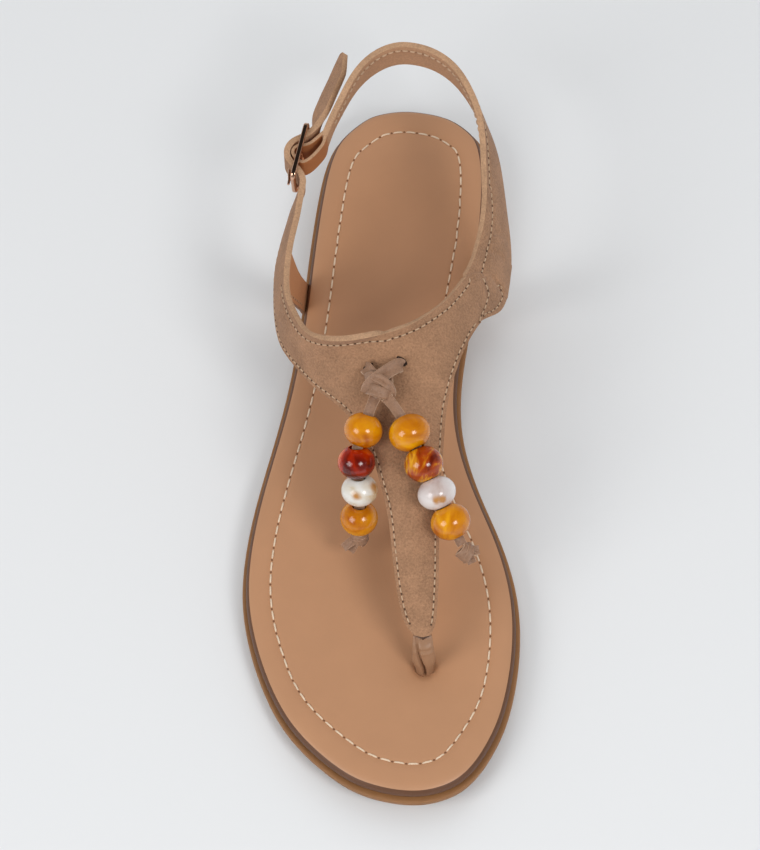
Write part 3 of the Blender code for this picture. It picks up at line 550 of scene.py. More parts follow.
# lower edge, upper edge and crown of each arm, from the fork on
LATERAL_ARM = (
    ((-34.6, -84.5, 37.6), (-12.0, -93.3, 63.0), 5.2),
    ((-37.6, -78.5, 35.8), (-20.5, -91.6, 59.8), 4.0),
    ((-39.4, -71.5, 34.4), (-27.6, -86.4, 55.6), 2.9),
    ((-40.4, -64.0, 33.7), (-32.2, -77.5, 52.0), 2.0),
    ((-40.8, -56.0, 33.6), (-35.6, -68.0, 49.4), 1.2),
    ((-40.5, -48.0, 34.5), (-36.1, -58.0, 49.3), 0.8),
    ((-38.8, -41.0, 37.6), (-35.1, -48.0, 50.4), 0.5),
    ((-36.9, -36.0, 40.8), (-33.4, -39.5, 51.6), 0.3),
)
MEDIAL_ARM = (
    ((24.8, -80.8, 48.0), (5.0, -88.6, 64.0), 2.6),
    ((27.0, -76.0, 45.8), (11.6, -82.8, 62.4), 2.2),
    ((31.2, -70.9, 41.0), (17.0, -75.6, 59.4), 1.9),
    ((33.9, -66.8, 38.0), (21.2, -67.6, 56.6), 1.7),
    ((35.7, -60.5, 36.0), (24.4, -60.0, 54.2), 1.6),
    ((36.6, -52.5, 34.6), (26.2, -52.5, 52.9), 1.5),
    ((36.9, -46.0, 34.6), (27.9, -45.1, 52.9), 1.3),
    ((36.5, -38.5, 36.3), (28.8, -37.0, 53.3), 1.0),
    ((35.5, -31.0, 38.7), (29.0, -29.0, 54.1), 0.7),
    ((34.4, -22.5, 41.5), (28.7, -21.0, 55.3), 0.4),
    ((32.8, -12.9, 44.3), (28.4, -12.9, 57.3), 0.2),
    ((30.0, -4.2, 46.6), (27.2, -4.8, 59.4), 0.0),
    ((26.1, 4.1, 48.3), (24.3, 3.2, 60.9), 0.0),
    ((20.2, 13.5, 49.8), (19.1, 12.6, 61.6), 0.0),
    ((11.2, 20.8, 50.7), (10.6, 19.7, 61.8), 0.0),
    ((-0.8, 23.3, 51.0), (-0.8, 22.6, 61.4), 0.0),
    ((-10.5, 19.3, 50.5), (-10.1, 18.6, 61.1), 0.0),
    ((-17.4, 12.0, 49.6), (-16.5, 11.4, 60.1), 0.0),
    ((-22.0, 3.0, 48.6), (-20.9, 2.3, 58.5), 0.0),
    ((-24.9, -4.1, 48.0), (-24.2, -4.7, 56.4), 0.0),
    ((-26.6, -10.2, 47.4), (-26.4, -10.6, 55.0), 0.0),
)
# The buckle strap in the buckle's own directions: along it, out of it at the lower and upper
# edge, and the heights of the two edges
BUCKLE_CENTRE = Vector((-32.2, -17.1, 51.2))
BUCKLE_ALONG = Vector((0.176, 0.984, 0.0)).normalized()
BUCKLE_STRAP = (
    (-14.0, 0.4, -2.4, 43.8, 53.4), (-10.4, -1.7, -2.3, 47.0, 54.7), (-7.2, 0.3, 0.2, 47.5, 55.0),
    (-4.2, 4.1, 3.9, 47.3, 55.1), (0.0, 5.6, 5.3, 47.3, 55.1), (4.2, 4.0, 3.9, 47.3, 55.1),
    (7.2, 0.2, 0.2, 47.3, 55.1), (10.4, -1.7, -2.0, 47.3, 55.1), (14.0, -0.6, -3.6, 48.3, 55.5),
    (18.0, 0.2, -4.9, 49.4, 56.0), (23.0, -0.4, -5.6, 49.8, 56.0), (28.0, -1.3, -6.4, 50.4, 56.2),
    (32.0, -2.2, -7.0, 51.0, 56.5), (36.6, -3.2, -6.3, 52.2, 56.0), (41.0, -4.4, -5.5, 53.6, 55.0),
)
# Rows smoothed on either side of the fork, and how often
SOFT_ROWS_BEFORE = 8
SOFT_ROWS_BEHIND = 10
SOFT_PASSES = 6
SKIN_LEVELS = 3
# The V where the vamp ends on the quarter: share across the arm, and row along it
OVERLAP_EDGE = ((0.0, 21.9), (0.04, 22.2), (0.21, 23.6), (0.38, 25.5), (0.44, 26.5), (0.58, 27.2),
                (0.79, 27.9), (0.9, 27.3), (1.0, 26.7))
OVERLAP_STEP = 0.9
OVERLAP_SOFTNESS = 0.13
# Soft creases of the quarter: two places as (row, share), depth and half width
CREASES = (((28.2, 0.5), (27.9, 0.16), 0.5, 0.9), ((30.3, 0.8), (30.9, 0.4), 0.4, 1.2),
           ((32.6, 0.66), (33.4, 0.2), 0.35, 1.4))
ROW_LENGTH = 3.7
ARM_WIDTH = 18.0
SUEDE = (161, 122, 93)
LINING_TAN = (178, 137, 105)


def buckle_place(u, v, z):
    """A place near the buckle, from its own directions."""
    out = Vector((-BUCKLE_ALONG.y, BUCKLE_ALONG.x, 0.0))
    spot = BUCKLE_CENTRE + BUCKLE_ALONG * u + out * v
    return Vector((spot.x, spot.y, z))


def strap_sections(low, top, crowns, turn):
    """Sections along a strap between two edge curves, bulging outwards by their crowns."""
    sections = []
    for index, (edge, ridge) in enumerate(zip(low, top)):
        ahead, behind = min(index + 1, len(low) - 1), max(index - 1, 0)
        tangent = (low[ahead] + top[ahead] - low[behind] - top[behind]) * turn
        chord = ridge - edge
        outwards = chord.cross(tangent).normalized()
        shares = [step / ACROSS for step in range(ACROSS + 1)]
        sections.append([edge + chord * s + outwards * crowns[index] * 4 * s * (1 - s) for s in shares])
    return sections


def upper_sections():
    """Sections of the lateral half with the buckle strap, and of the medial half with the heel strap."""
    weave = [(buckle_place(u, v_low, z_low), buckle_place(u, v_top, z_top), 0.0)
             for u, v_low, v_top, z_low, z_top in BUCKLE_STRAP]
    lateral_rows = [*LATERAL_ARM, *weave]
    ridge = spline([row[1] for row in TONGUE], ALONG)
    rear = [*(row[1] for row in reversed(lateral_rows)), TONGUE[-1][1], *(row[1] for row in MEDIAL_ARM)]
    rear = spline(rear, ALONG)
    split = len(lateral_rows) * ALONG
    halves = {}
    for half, column, rows, rear_edge, turn in (("lateral", 0, lateral_rows, rear[:split][::-1], 1),
                                                ("medial", 2, MEDIAL_ARM, rear[split + 1:], -1)):
        edges = [row[column] for row in TONGUE]
        drops = [(row[1][2] - edge[2]) * CROWN_SHARE for row, edge in zip(TONGUE, edges)]
        crowns = spline([(crown, 0.0, 0.0) for crown in [*drops, *(row[2] for row in rows)]], ALONG)
        low = spline([*edges, *(row[0] for row in rows)], ALONG)
        halves[half] = strap_sections(low, [*ridge, *rear_edge], [crown.x for crown in crowns], turn)
    return halves, len(ridge)


def evaluated_mesh(piece):
    """The piece's mesh with its modifiers in it; the piece itself is removed."""
    mesh = bpy.data.meshes.new_from_object(piece.evaluated_get(bpy.context.evaluated_depsgraph_get()))
    bpy.data.objects.remove(piece)
    return mesh


def overlap_row(share):
    """Where the vamp's V ends along the medial arm, at a share across it."""
    for (near, start), (far, end) in zip(OVERLAP_EDGE, OVERLAP_EDGE[1:]):
        if share <= far:
            return start + (end - start) * (share - near) / (far - near)
    return OVERLAP_EDGE[-1][1]


def crease_depth(row, share):
    """How deep the quarter's soft creases are at a place on the medial arm."""
    spot = Vector((row * ROW_LENGTH, share * ARM_WIDTH))
    total = 0.0
    for start, end, depth, width in CREASES:
        first = Vector((start[0] * ROW_LENGTH, start[1] * ARM_WIDTH))
        along = Vector((end[0] * ROW_LENGTH, end[1] * ARM_WIDTH)) - first
        at = (spot - first).dot(along) / along.length_squared
        off = (spot - first - along * min(1.0, max(0.0, at))).length
        total += depth * math.exp(-(off / width) ** 2)
    return total


sections, fork_row = upper_sections()
upper_points = []
upper_faces = []
upper_rows = []
upper_shares = []
upper_numbers = {}


def upper_number(half, row, column):
    on_ridge = column == ACROSS and row < fork_row
    key = ("ridge", row, column) if on_ridge else (half, row, column)
    if key not in upper_numbers:
        upper_numbers[key] = len(upper_points)
        upper_points.append(sections[half][row][column])
        upper_rows.append(row if half == "medial" else -row)
        upper_shares.append(column / ACROSS)
    return upper_numbers[key]


for half in ("medial", "lateral"):
    for row in range(len(sections[half]) - 1):
        for column in range(ACROSS):
            face = [upper_number(half, row + r, column + c) for r, c in ((0, 0), (0, 1), (1, 1), (1, 0))]
            upper_faces.append(face if half == "lateral" else face[::-1])
cage = mesh_piece("upper_cage", upper_points, upper_faces, closed=False)
work = bmesh.new()
work.from_mesh(cage.data)
work.verts.ensure_lookup_table()
soft_rows = range(fork_row - SOFT_ROWS_BEFORE, fork_row + SOFT_ROWS_BEHIND)
soft_verts = [work.verts[index] for key, index in upper_numbers.items()
              if key[1] in soft_rows and not work.verts[index].is_boundary]
for _ in range(SOFT_PASSES):
    bmesh.ops.smooth_vert(work, verts=soft_verts, factor=0.5,
                          use_axis_x=True, use_axis_y=True, use_axis_z=True)
work.to_mesh(cage.data)
work.free()
cage_places = [vertex.co / MM for vertex in cage.data.vertices]
cage_normals = [vertex.normal.copy() for vertex in cage.data.vertices]
rows_from_tip = [abs(row) for row in upper_rows]
for name, values in (("row", upper_rows), ("share", upper_shares), ("from_tip", rows_from_tip)):
    cage.data.attributes.new(name, "FLOAT", "POINT").data.foreach_set("value", [float(v) for v in values])
finer = cage.modifiers.new("finer", "SUBSURF")
finer.levels = SKIN_LEVELS
finer.render_levels = SKIN_LEVELS
skin_mesh = evaluated_mesh(cage)
rows_at = [item.value for item in skin_mesh.attributes["row"].data]
shares_at = [item.value for item in skin_mesh.attributes["share"].data]
skin_normals = [vertex.normal.copy() for vertex in skin_mesh.vertices]
for vertex, normal, row, share in zip(skin_mesh.vertices, skin_normals, rows_at, shares_at):
    if row > 0:
        past = smooth_share(-OVERLAP_SOFTNESS, OVERLAP_SOFTNESS, row - overlap_row(share))
        vertex.co -= normal * (OVERLAP_STEP * past + crease_depth(row, share)) * MM
skin_mesh.shade_smooth()
skin = place("upper_skin", skin_mesh)
upper_surface = surface_of(skin)
suede = grained("suede", SUEDE, (1500.0, 1.15), (130.0, 0.65), 0.42, Roughness=0.92,
                Sheen_Weight=0.1, Sheen_Roughness=0.5, Specular_IOR_Level=0.12)
lining = grained("lining_tan", LINING_TAN, (1500.0, 0.8), (60.0, 0.3), 0.2, Roughness=0.8)

# Upper seams: taupe thread in short stitches with a pinhole between each two, drawn as a dark
# disc of painted shade, close to the edges of the long strap and the arms, round the V, and right
# through the heel strap. Two slits are cut in the vamp for the tie; each is pressed into the skin
# and its opening is a dark disc of painted shade.
UPPER_PITCH = 2.4
UPPER_THREAD = 0.46
UPPER_PINHOLE = 0.7
THREAD_TAUPE = (192, 162, 133)
# Colour of the pinhole discs, painted shade for the holes
UPPER_PINHOLE_SHADE = (84, 60, 44)
UPPER_ENDS_IN = 0.75
HEEL_THREAD = 0.6
HEEL_PINHOLE = 0.4
# Colour of the discs laid in the slits' openings, painted shade
SLIT_SHADE = (46, 30, 20)
LOW_INSET = 1.2
REAR_INSET = 2.4
HEEL_INSET = 1.9
# Rows of the arms where these seams start and end, from the tip of the long strap on
LOW_SEAM_START = 2
LATERAL_LOW_END = 33
MEDIAL_LOW_END = 22
LATERAL_REAR_END = 29
MEDIAL_REAR_END = 28
HEEL_SEAM_START = 36
THROUGH_START = 30
SEAM_STEPS = 4
SEAM_WIDTH = 0.9
SEAM_DEPTH = 0.28
V_SEAM_BACK = 0.4
# Stitches of the quarter as (row, share) on the medial arm: along its bulge, and by its upper edge
BULGE_SEAM = ((23.3, 0.12), (24.3, 0.12), (25.4, 0.12), (26.9, 0.12), (27.7, 0.14), (28.1, 0.24), (28.1, 0.4))
QUARTER_SEAM = ((28.0, 0.79), (29.0, 0.79), (30.9, 0.79), (32.4, 0.79), (34.0, 0.8), (36.0, 0.83))
# Slits of the tie: middle, direction, half length, half width
SLITS = (
    ((-8.0, -99.3, 57.2), (-0.80, -0.60, 0.0), 2.1, 0.7),
    ((2.6, -98.2, 58.6), (-0.72, 0.69, 0.0), 2.3, 1.1),
)
SLIT_DEPTH = 0.7
SLIT_WIDTH = 1.3
SLIT_STEPS = 4
SLIT_SIDES = 16
thread_taupe = grained("thread_taupe", THREAD_TAUPE, *THREAD_GRAIN, Roughness=0.75)
upper_holes = grained("upper_pinholes", UPPER_PINHOLE_SHADE, *HOLE_GRAIN, Roughness=0.95)
slit_shade_finish = grained("slit_painted_shade", SLIT_SHADE, *HOLE_GRAIN, Roughness=0.95)


def inset_line(stations, inset):
    """Places an inset in from an edge, over the surface, from places on it with one further in."""
    edge = spline([place_on for place_on, _ in stations], SEAM_STEPS)
    inner = spline([further for _, further in stations], SEAM_STEPS)
    line = []
    for index, (spot, normal) in enumerate(lay_on(edge, upper_surface)):
        along = edge[min(index + 1, len(edge) - 1)] - edge[max(index - 1, 0)]
        inwards = normal.cross(along).normalized()
        if inwards.dot(inner[index] - edge[index]) < 0:
            inwards.negate()
        line.append(spot + inwards * inset)
    return line


def edge_stations(half, rows, top):
    """Places on one edge of a strap, each with one further in."""
    edge, inner = (ACROSS, ACROSS - 1) if top else (0, 1)
    return [(sections[half][row][edge], sections[half][row][inner]) for row in rows]


def spot_at(half, row, share):
    """A place on a strap, from its row and its share across."""
    low, column = int(row), min(int(share * ACROSS), ACROSS - 1)
    along, across = row - low, share * ACROSS - column
    near, far = sections[half][low], sections[half][low + 1]
    start = near[column].lerp(near[column + 1], across)
    return start.lerp(far[column].lerp(far[column + 1], across), along)


def press(mesh, points, width, depth):
    """Sinks the mesh softly along places on it."""
    near = KDTree(len(points))
    for index, point in enumerate(points):
        near.insert(Vector(point) * MM, index)
    near.balance()
    normals = [vertex.normal.copy() for vertex in mesh.vertices]
    for vertex, normal in zip(mesh.vertices, normals):
        off = near.find(vertex.co)[2] / MM
        vertex.co -= normal * depth * math.exp(-(off / width) ** 2) * MM


heel_end = len(sections["medial"]) - 1
fork, before_fork = sections["lateral"][fork_row - 1][ACROSS], sections["lateral"][fork_row - 2][ACROSS]
rear_stations = [
    *edge_stations("lateral", range(LATERAL_REAR_END, fork_row - 1, -1), True), (fork, before_fork),
    *edge_stations("medial", range(fork_row, MEDIAL_REAR_END), True),
]
low_stations = [edge_stations(half, range(LOW_SEAM_START, last), False)
                for half, last in (("lateral", LATERAL_LOW_END), ("medial", MEDIAL_LOW_END))]
heel_stations = edge_stations("medial", range(HEEL_SEAM_START, heel_end), True)
v_path = [spot_at("medial", row - V_SEAM_BACK, share) for share, row in OVERLAP_EDGE[1:-2]]
bulge_path, quarter_path = ([spot_at("medial", *spot) for spot in seam]
                            for seam in (BULGE_SEAM, QUARTER_SEAM))
seam_paths = [
    *(inset_line(stations, LOW_INSET) for stations in low_stations),
    inset_line(rear_stations, REAR_INSET),
    spline(v_path, SEAM_STEPS),
    spline(bulge_path, SEAM_STEPS),
    [*spline(quarter_path, SEAM_STEPS), *inset_line(heel_stations, HEEL_INSET)],
]
for seam_path in seam_paths:
    press(skin.data, [spot for spot, _ in lay_on(seam_path, upper_surface)], SEAM_WIDTH, SEAM_DEPTH)
for middle, across, half_length, _ in SLITS:
    reach = Vector(across).normalized() * half_length
    slit = [Vector(middle) + reach * step / SLIT_STEPS for step in range(-SLIT_STEPS, SLIT_STEPS + 1)]
    press(skin.data, [spot for spot, _ in lay_on(slit, upper_surface)], SLIT_WIDTH, SLIT_DEPTH)
skin.data.update()
upper_surface = surface_of(skin)
seam_lines = [lay_on(path, upper_surface) for path in seam_paths]
through_path = inset_line(edge_stations("medial", range(THROUGH_START, heel_end), True), HEEL_INSET)
through = [(spot - normal * WALL, -normal) for spot, normal in lay_on(through_path, upper_surface)]
sew("upper_seams", seam_lines, UPPER_PITCH, UPPER_THREAD, UPPER_PINHOLE, "suede", thread_taupe,
    UPPER_ENDS_IN, upper_holes)
sew("heel_seam", [through], UPPER_PITCH, HEEL_THREAD, HEEL_PINHOLE, "suede", thread_taupe)
# Each slit's opening is a flat dark disc on the pressed skin, painted shade
slit_points = []
slit_faces = []
for middle, across, half_length, half_width in SLITS:
    (spot, normal), = lay_on([middle], upper_surface)
    across = Vector(across).normalized()
    along = normal.cross(across).normalized()
    slit_faces.append(range(len(slit_points), len(slit_points) + SLIT_SIDES))
    angles = [math.tau * side / SLIT_SIDES for side in range(SLIT_SIDES)]
    ring = [spot + across * half_length * math.cos(angle) + along * half_width * math.sin(angle)
            for angle in angles]
    slit_points += [place_on + out * PINHOLE_LIFT for place_on, out in lay_on(ring, upper_surface)]
fasten(mesh_piece("vamp_slit_shades", slit_points, slit_faces, slit_shade_finish, closed=False), "suede")

# Wall of the upper: the skin gets its lining. Its cut edge is pale and raw round the opening,
# and lighter still there as painted light on its upturned face; along the lower edges it is
# smoother and darker, the darkness painted shade where they face down; at the tip of the long
# strap it is painted dark as the shadow line under the tip.
EDGE_ROUNDING = 0.4
# Edges bent more than this are rounded, and more than that are shaded as sharp
ROUNDED_ANGLE = math.radians(55)
SHARP_ANGLE = math.radians(60)
# Edge colours: raw pale suede made lighter still as painted light, a darker brown as painted shade on the
# downward-facing lower rims, and a painted shadow line on so many rows at the tip
RAW_EDGE_AND_LIGHT = (180, 143, 112)
LOW_EDGE_SHADE = (146, 104, 74)
TIP_SHADOW = (84, 58, 42)
TIP_SHADOW_ROWS = 0.3
# Numbers of the edge's finishes in the upper's list
RIM, LOW_SHADED_RIM, TIP_SHADOW_RIM = 2, 3, 4
raw_edge_and_light = grained("raw_edge_and_light", RAW_EDGE_AND_LIGHT, (1700.0, 1.0), (150.0, 0.5), 0.3, Roughness=0.9,
                   Specular_IOR_Level=0.2)
low_edge_shade, tip_shadow = (
    grained(name, colour, (2600.0, 0.4), (150.0, 0.3), 0.08, Roughness=0.6)
    for name, colour in (("low_edge_shade", LOW_EDGE_SHADE), ("tip_shadow", TIP_SHADOW)))


def walled(piece, wall, rounding, *finishes, offset=-1.0):
    """The outer face given a wall behind it, with the lining inside, its cut edges in a finish of their own
    and rounded rims.
    """
    shell = piece.modifiers.new("wall", "SOLIDIFY")
    shell.thickness = wall * MM
    shell.offset = offset
    shell.use_even_offset = True
    shell.material_offset = 1
    shell.material_offset_rim = RIM
    rims = piece.modifiers.new("rims", "BEVEL")
    rims.width = rounding * MM
    rims.segments = 2
    rims.limit_method = "ANGLE"
    rims.angle_limit = ROUNDED_ANGLE
    name = piece.name
    piece.data.materials.clear()
    for finish in finishes:
        piece.data.materials.append(finish)
    mesh = evaluated_mesh(piece)
    mesh.shade_smooth()
    mesh.set_sharp_from_angle(angle=SHARP_ANGLE)
    return place(name, mesh)


upper = walled(skin, WALL, EDGE_ROUNDING, suede, lining, raw_edge_and_light, low_edge_shade, tip_shadow)
tip_of, share_of = (upper.data.attributes[name].data for name in ("from_tip", "share"))
# Faces at the tip take the painted shadow line, and lower rims the painted shade
for face in upper.data.polygons:
    from_tip, share = (sum(values[index].value for index in face.vertices) / len(face.vertices)
                       for values in (tip_of, share_of))
    if from_tip < TIP_SHADOW_ROWS:
        face.material_index = TIP_SHADOW_RIM
    elif face.material_index == RIM and share < 0.5:
        face.material_index = LOW_SHADED_RIM
fasten(upper, "suede", "upper")

# Side tabs: a strip of the same suede on each side, sewn inside the arm and led down between
# footbed and outsole, where it is cemented. They hold the upper on the sole.
TAB_WALL = 1.4
TAB_INSET = 0.5
TAB_ARM_ROWS = (28, 32)
TAB_LINING = (186, 130, 90)
LATERAL_TAB = (
    ((-33.3, -51.5, 10.4), (-32.7, -40.5, 10.9)), ((-33.8, -53.2, 15.5), (-33.1, -42.2, 15.5)),
    ((-34.7, -56.4, 23.0), (-33.9, -45.0, 23.0)), ((-35.8, -60.0, 32.0), (-35.0, -46.8, 32.0)),
)
MEDIAL_TAB = (
    ((22.9, -55.0, 10.2), (24.7, -42.0, 10.9)), ((28.8, -54.6, 15.5), (30.4, -42.0, 15.5)),
    ((33.2, -55.4, 22.5), (34.8, -43.0, 22.5)), ((34.8, -57.0, 29.0), (36.2, -45.0, 29.0)),
)
TAB_SEAM_INSET = 1.6
TAB_SEAM_STARTS = 3
TAB_PITCH = 2.8
TAB_THREAD = 0.3
TAB_LEVELS = 2
tab_lining = grained("tab_lining", TAB_LINING, (2200.0, 0.2), (90.0, 0.3), 0.04, Roughness=0.5)
for half, rows, seat_columns, deeper in (("lateral", LATERAL_TAB, (2, 3), 0.0),
                                         ("medial", MEDIAL_TAB, (0, 1), OVERLAP_STEP)):
    seats = []
    for column in seat_columns:
        found = [upper_numbers[half, row, column] for row in range(TAB_ARM_ROWS[0], TAB_ARM_ROWS[1] + 1)]
        seats.append([cage_places[i] - cage_normals[i] * (TAB_INSET + deeper) for i in found])
    columns = len(seats[0])
    strips = [[Vector(front).lerp(Vector(rear), c / (columns - 1)) for c in range(columns)]
              for front, rear in rows]
    lines = [spline(line, ALONG) for line in zip(*strips, *seats)]
    levels = len(lines[0])
    tab_faces = []
    for line in range(columns - 1):
        for level in range(levels - 1):
            first = line * levels + level
            face = (first, first + levels, first + levels + 1, first + 1)
            tab_faces.append(face[::-1] if half == "lateral" else face)
    tab = mesh_piece("side_tab_" + half, [p for line in lines for p in line], tab_faces, closed=False)
    finer = tab.modifiers.new("finer", "SUBSURF")
    finer.levels = TAB_LEVELS
    finer.render_levels = TAB_LEVELS
    finer.boundary_smooth = "PRESERVE_CORNERS"
    tab = walled(tab, TAB_WALL, EDGE_ROUNDING / 2, suede, tab_lining, low_edge_shade)
    fasten(tab, "suede")
    into = Vector((-1.0, 0.0, 0.0)) if half == "medial" else Vector((1.0, 0.0, 0.0))
    front_row = [spot.lerp(rear, TAB_SEAM_INSET / (rear - spot).length) + into * TAB_WALL * 2
                 for spot, rear in zip(lines[0][TAB_SEAM_STARTS:], lines[-1][TAB_SEAM_STARTS:])]
    sew("tab_seam_" + half, [lay_on(spline(front_row, SEAM_STEPS), surface_of(tab))],
        TAB_PITCH, TAB_THREAD, UPPER_PINHOLE, "suede", thread_taupe, UPPER_ENDS_IN)

# Toe post: a strip of smooth leather folded double, with its crease to the front. It comes
# down from under the tip of the long strap and goes through the footbed into the sole.
POST_SIDES = 64
POST_STEPS = 10
# Middle of the strip at each level, half width and half depth
TOE_POST = (
    (9.6, -179.4, 5.9, 2.6, 2.2), (9.6, -178.8, 11.0, 3.0, 2.4), (9.5, -178.4, 15.2, 3.7, 2.2),
    (9.4, -177.1, 20.0, 3.3, 1.6), (9.3, -174.6, 23.4, 2.9, 1.2),
)
# The crease: depth and width as shares of the strip's half depth and half width, its place
# across at the foot and at the top, and the shares of the height between which it goes over
POST_CREASE = 0.75
POST_CREASE_WIDTH = 0.14
POST_CREASE_FOOT = 0.05
POST_CREASE_TOP = -0.62
POST_CREASE_TURNS = (0.15, 1.0)
# Cross folds at the front, as heights, with their half height and how far they stand out
POST_FOLDS = ((21.2, 0.5, 0.6), (19.2, 0.4, 0.35))
POST_BROWN = (158, 119, 90)
post_points = []
post_centres = spline([row[:3] for row in TOE_POST], POST_STEPS)
post_halves = spline([(row[3], row[4], 0.0) for row in TOE_POST], POST_STEPS)
for index, (centre, half) in enumerate(zip(post_centres, post_halves)):
    share = index / (len(post_centres) - 1)
    turned = smooth_share(*POST_CREASE_TURNS, share)
    crease_side = POST_CREASE_FOOT + (POST_CREASE_TOP - POST_CREASE_FOOT) * turned
    fold = sum(out * math.exp(-((centre.z - level) / tall) ** 2) for level, tall, out in POST_FOLDS)
    for side in range(POST_SIDES):
        angle = math.tau * side / POST_SIDES
        x, y = math.cos(angle), math.sin(angle)
        crease = math.exp(-((x - crease_side) / POST_CREASE_WIDTH) ** 2) if y < 0 else 0.0
        front = max(0.0, -y)
        y *= 1 - POST_CREASE * crease
        post_points.append(centre + Vector((x * half.x, y * half.y - fold * front * (1 - crease), 0.0)))
post_levels = len(post_centres)
post_faces = [face for level in range(post_levels - 1) for face in ring_faces(level * POST_SIDES, POST_SIDES)]
post_faces += [range(POST_SIDES), range((post_levels - 1) * POST_SIDES, post_levels * POST_SIDES)]
post_finish = grained("post_strip", POST_BROWN, (2000.0, 0.14), (120.0, 0.2), 0.05, Roughness=0.36)
post = mesh_piece("toe_post_strip", post_points, post_faces, post_finish, sharp=70.0)
fasten(post, "post_strip", "toe_post")

# Buckle: the heel strap's end is folded once round the middle bar of a flat plated frame. The
# buckle strap weaves under, over and under the frame, and the prong goes through it.
LOOP_WALL = 1.1
# Heights of the loop, and its plan in the buckle's own directions
LOOP_LEVELS = (47.5, 48.5, 51.2, 53.8, 54.8)
LOOP = (
    (9.0, -6.3), (5.0, -6.8), (1.4, -5.6), (-2.0, -3.7), (-3.7, -1.9), (-3.4, -0.4), (-2.3, 1.1),
    (-0.8, 2.2), (0.9, 2.2), (2.3, 1.0), (2.7, -0.7), (3.8, -2.5), (5.6, -3.9),
)
LOOP_STEPS = 5
FRAME_LENGTH = 22.2
FRAME_HEIGHT = 11.4
FRAME_BAR = 1.5
FRAME_THICKNESS = 1.6
FRAME_CORNER = 2.6
CORNER_STEPS = 8
FRAME_ROUNDING = 0.5
MIDDLE_BAR = 2.2
PRONG = ((0.7, 1.6), (-1.6, 2.2), (-4.0, 2.5), (-6.6, 2.2), (-8.8, 1.8), (-10.9, 1.75))
PRONG_DIAMETER = 1.3
PRONG_SIDES = 14
PRONG_STEPS = 4
# The prong's tip is thinner by this share, from so far along it
PRONG_TAPER = 0.35
PRONG_TAPER_FROM = 0.6
ROSE_GOLD = (224, 180, 152)
LOOP_TAN = (168, 106, 62)
loop_plan = [(u, v, 0.0) for u, v in LOOP]
loop_ends = Vector(loop_plan[-1]), Vector(loop_plan[1])
loop_ring = spline([*loop_plan, loop_plan[0]], LOOP_STEPS, *loop_ends)[:-1]
loop_points = [buckle_place(spot.x, spot.y, level) for level in LOOP_LEVELS for spot in loop_ring]
loop_faces = [face for level in range(len(LOOP_LEVELS) - 1)
              for face in ring_faces(level * len(loop_ring), len(loop_ring))]
loop_skin = grained("loop_leather", LOOP_TAN, (1800.0, 0.12), (90.0, 0.2), 0.04, Roughness=0.5)
loop = mesh_piece("heel_strap_loop", loop_points, loop_faces, closed=False)
fasten(walled(loop, LOOP_WALL, EDGE_ROUNDING / 2, loop_skin, loop_skin, raw_edge_and_light, offset=0.0), "suede")


def rounded_rectangle(middle, length, height, corner, steps=CORNER_STEPS):
    """Corner-rounded outline in the frame's own plane."""
    points = []
    for quarter, (right, up) in enumerate(((1, 1), (-1, 1), (-1, -1), (1, -1))):
        x, y = middle + right * (length / 2 - corner), up * (height / 2 - corner)
        for step in range(steps + 1):
            angle = math.radians(90) * (quarter + step / steps)
            points.append((x + corner * math.cos(angle), y + corner * math.sin(angle)))
    return points


window = (FRAME_LENGTH - MIDDLE_BAR) / 2 - FRAME_BAR
window_middle = (MIDDLE_BAR + window) / 2
window_height = FRAME_HEIGHT - 2 * FRAME_BAR
frame_curve = bpy.data.curves.new("buckle_bars", "CURVE")
frame_curve.dimensions = "2D"
frame_curve.fill_mode = "BOTH"
frame_curve.extrude = (FRAME_THICKNESS / 2 - FRAME_ROUNDING) * MM
frame_curve.bevel_depth = FRAME_ROUNDING * MM
frame_curve.bevel_resolution = 4
frame_curve.offset = -FRAME_ROUNDING * MM
for window_outline in (rounded_rectangle(0.0, FRAME_LENGTH, FRAME_HEIGHT, FRAME_CORNER),
                       rounded_rectangle(-window_middle, window, window_height, FRAME_CORNER - FRAME_BAR),
                       rounded_rectangle(window_middle, window, window_height, FRAME_CORNER - FRAME_BAR)):
    run = frame_curve.splines.new("POLY")
    run.points.add(len(window_outline) - 1)
    run.use_cyclic_u = True
    for knot, (x, y) in zip(run.points, window_outline):
        knot.co = (x * MM, y * MM, 0.0, 1.0)
up = Vector((0.0, 0.0, 1.0))
frame_turn = Matrix((BUCKLE_ALONG, up, BUCKLE_ALONG.cross(up))).transposed().to_4x4()
frame_mesh = evaluated_mesh(place("buckle_curve", frame_curve))
frame_mesh.transform(Matrix.Translation(BUCKLE_CENTRE * MM) @ frame_turn)
frame_mesh.shade_smooth()
frame_mesh.set_sharp_from_angle(angle=math.radians(50))
rose_gold = grained("rose_gold", ROSE_GOLD, (1200.0, 0.06), (160.0, 0.08), 0.004, Metallic=1.0,
                    Roughness=0.16)
frame_mesh.materials.clear()
frame_mesh.materials.append(rose_gold)
fasten(place("buckle_bars", frame_mesh), "rose_gold", "buckle_frame")


def swept(points, centres, sides, profile):
    """Adds a closed tube to points and gives its faces; the profile gives places off the centres."""
    start = len(points)
    for index, centre in enumerate(centres):
        points.extend(centre + profile(index, math.tau * side / sides) for side in range(sides))
    faces = [face for index in range(len(centres) - 1) for face in ring_faces(start + index * sides, sides)]
    last = start + (len(centres) - 1) * sides
    return [*faces, range(start, start + sides)[::-1], range(last, last + sides)]


prong_run = spline([buckle_place(u, v, BUCKLE_CENTRE.z) for u, v in PRONG], PRONG_STEPS)


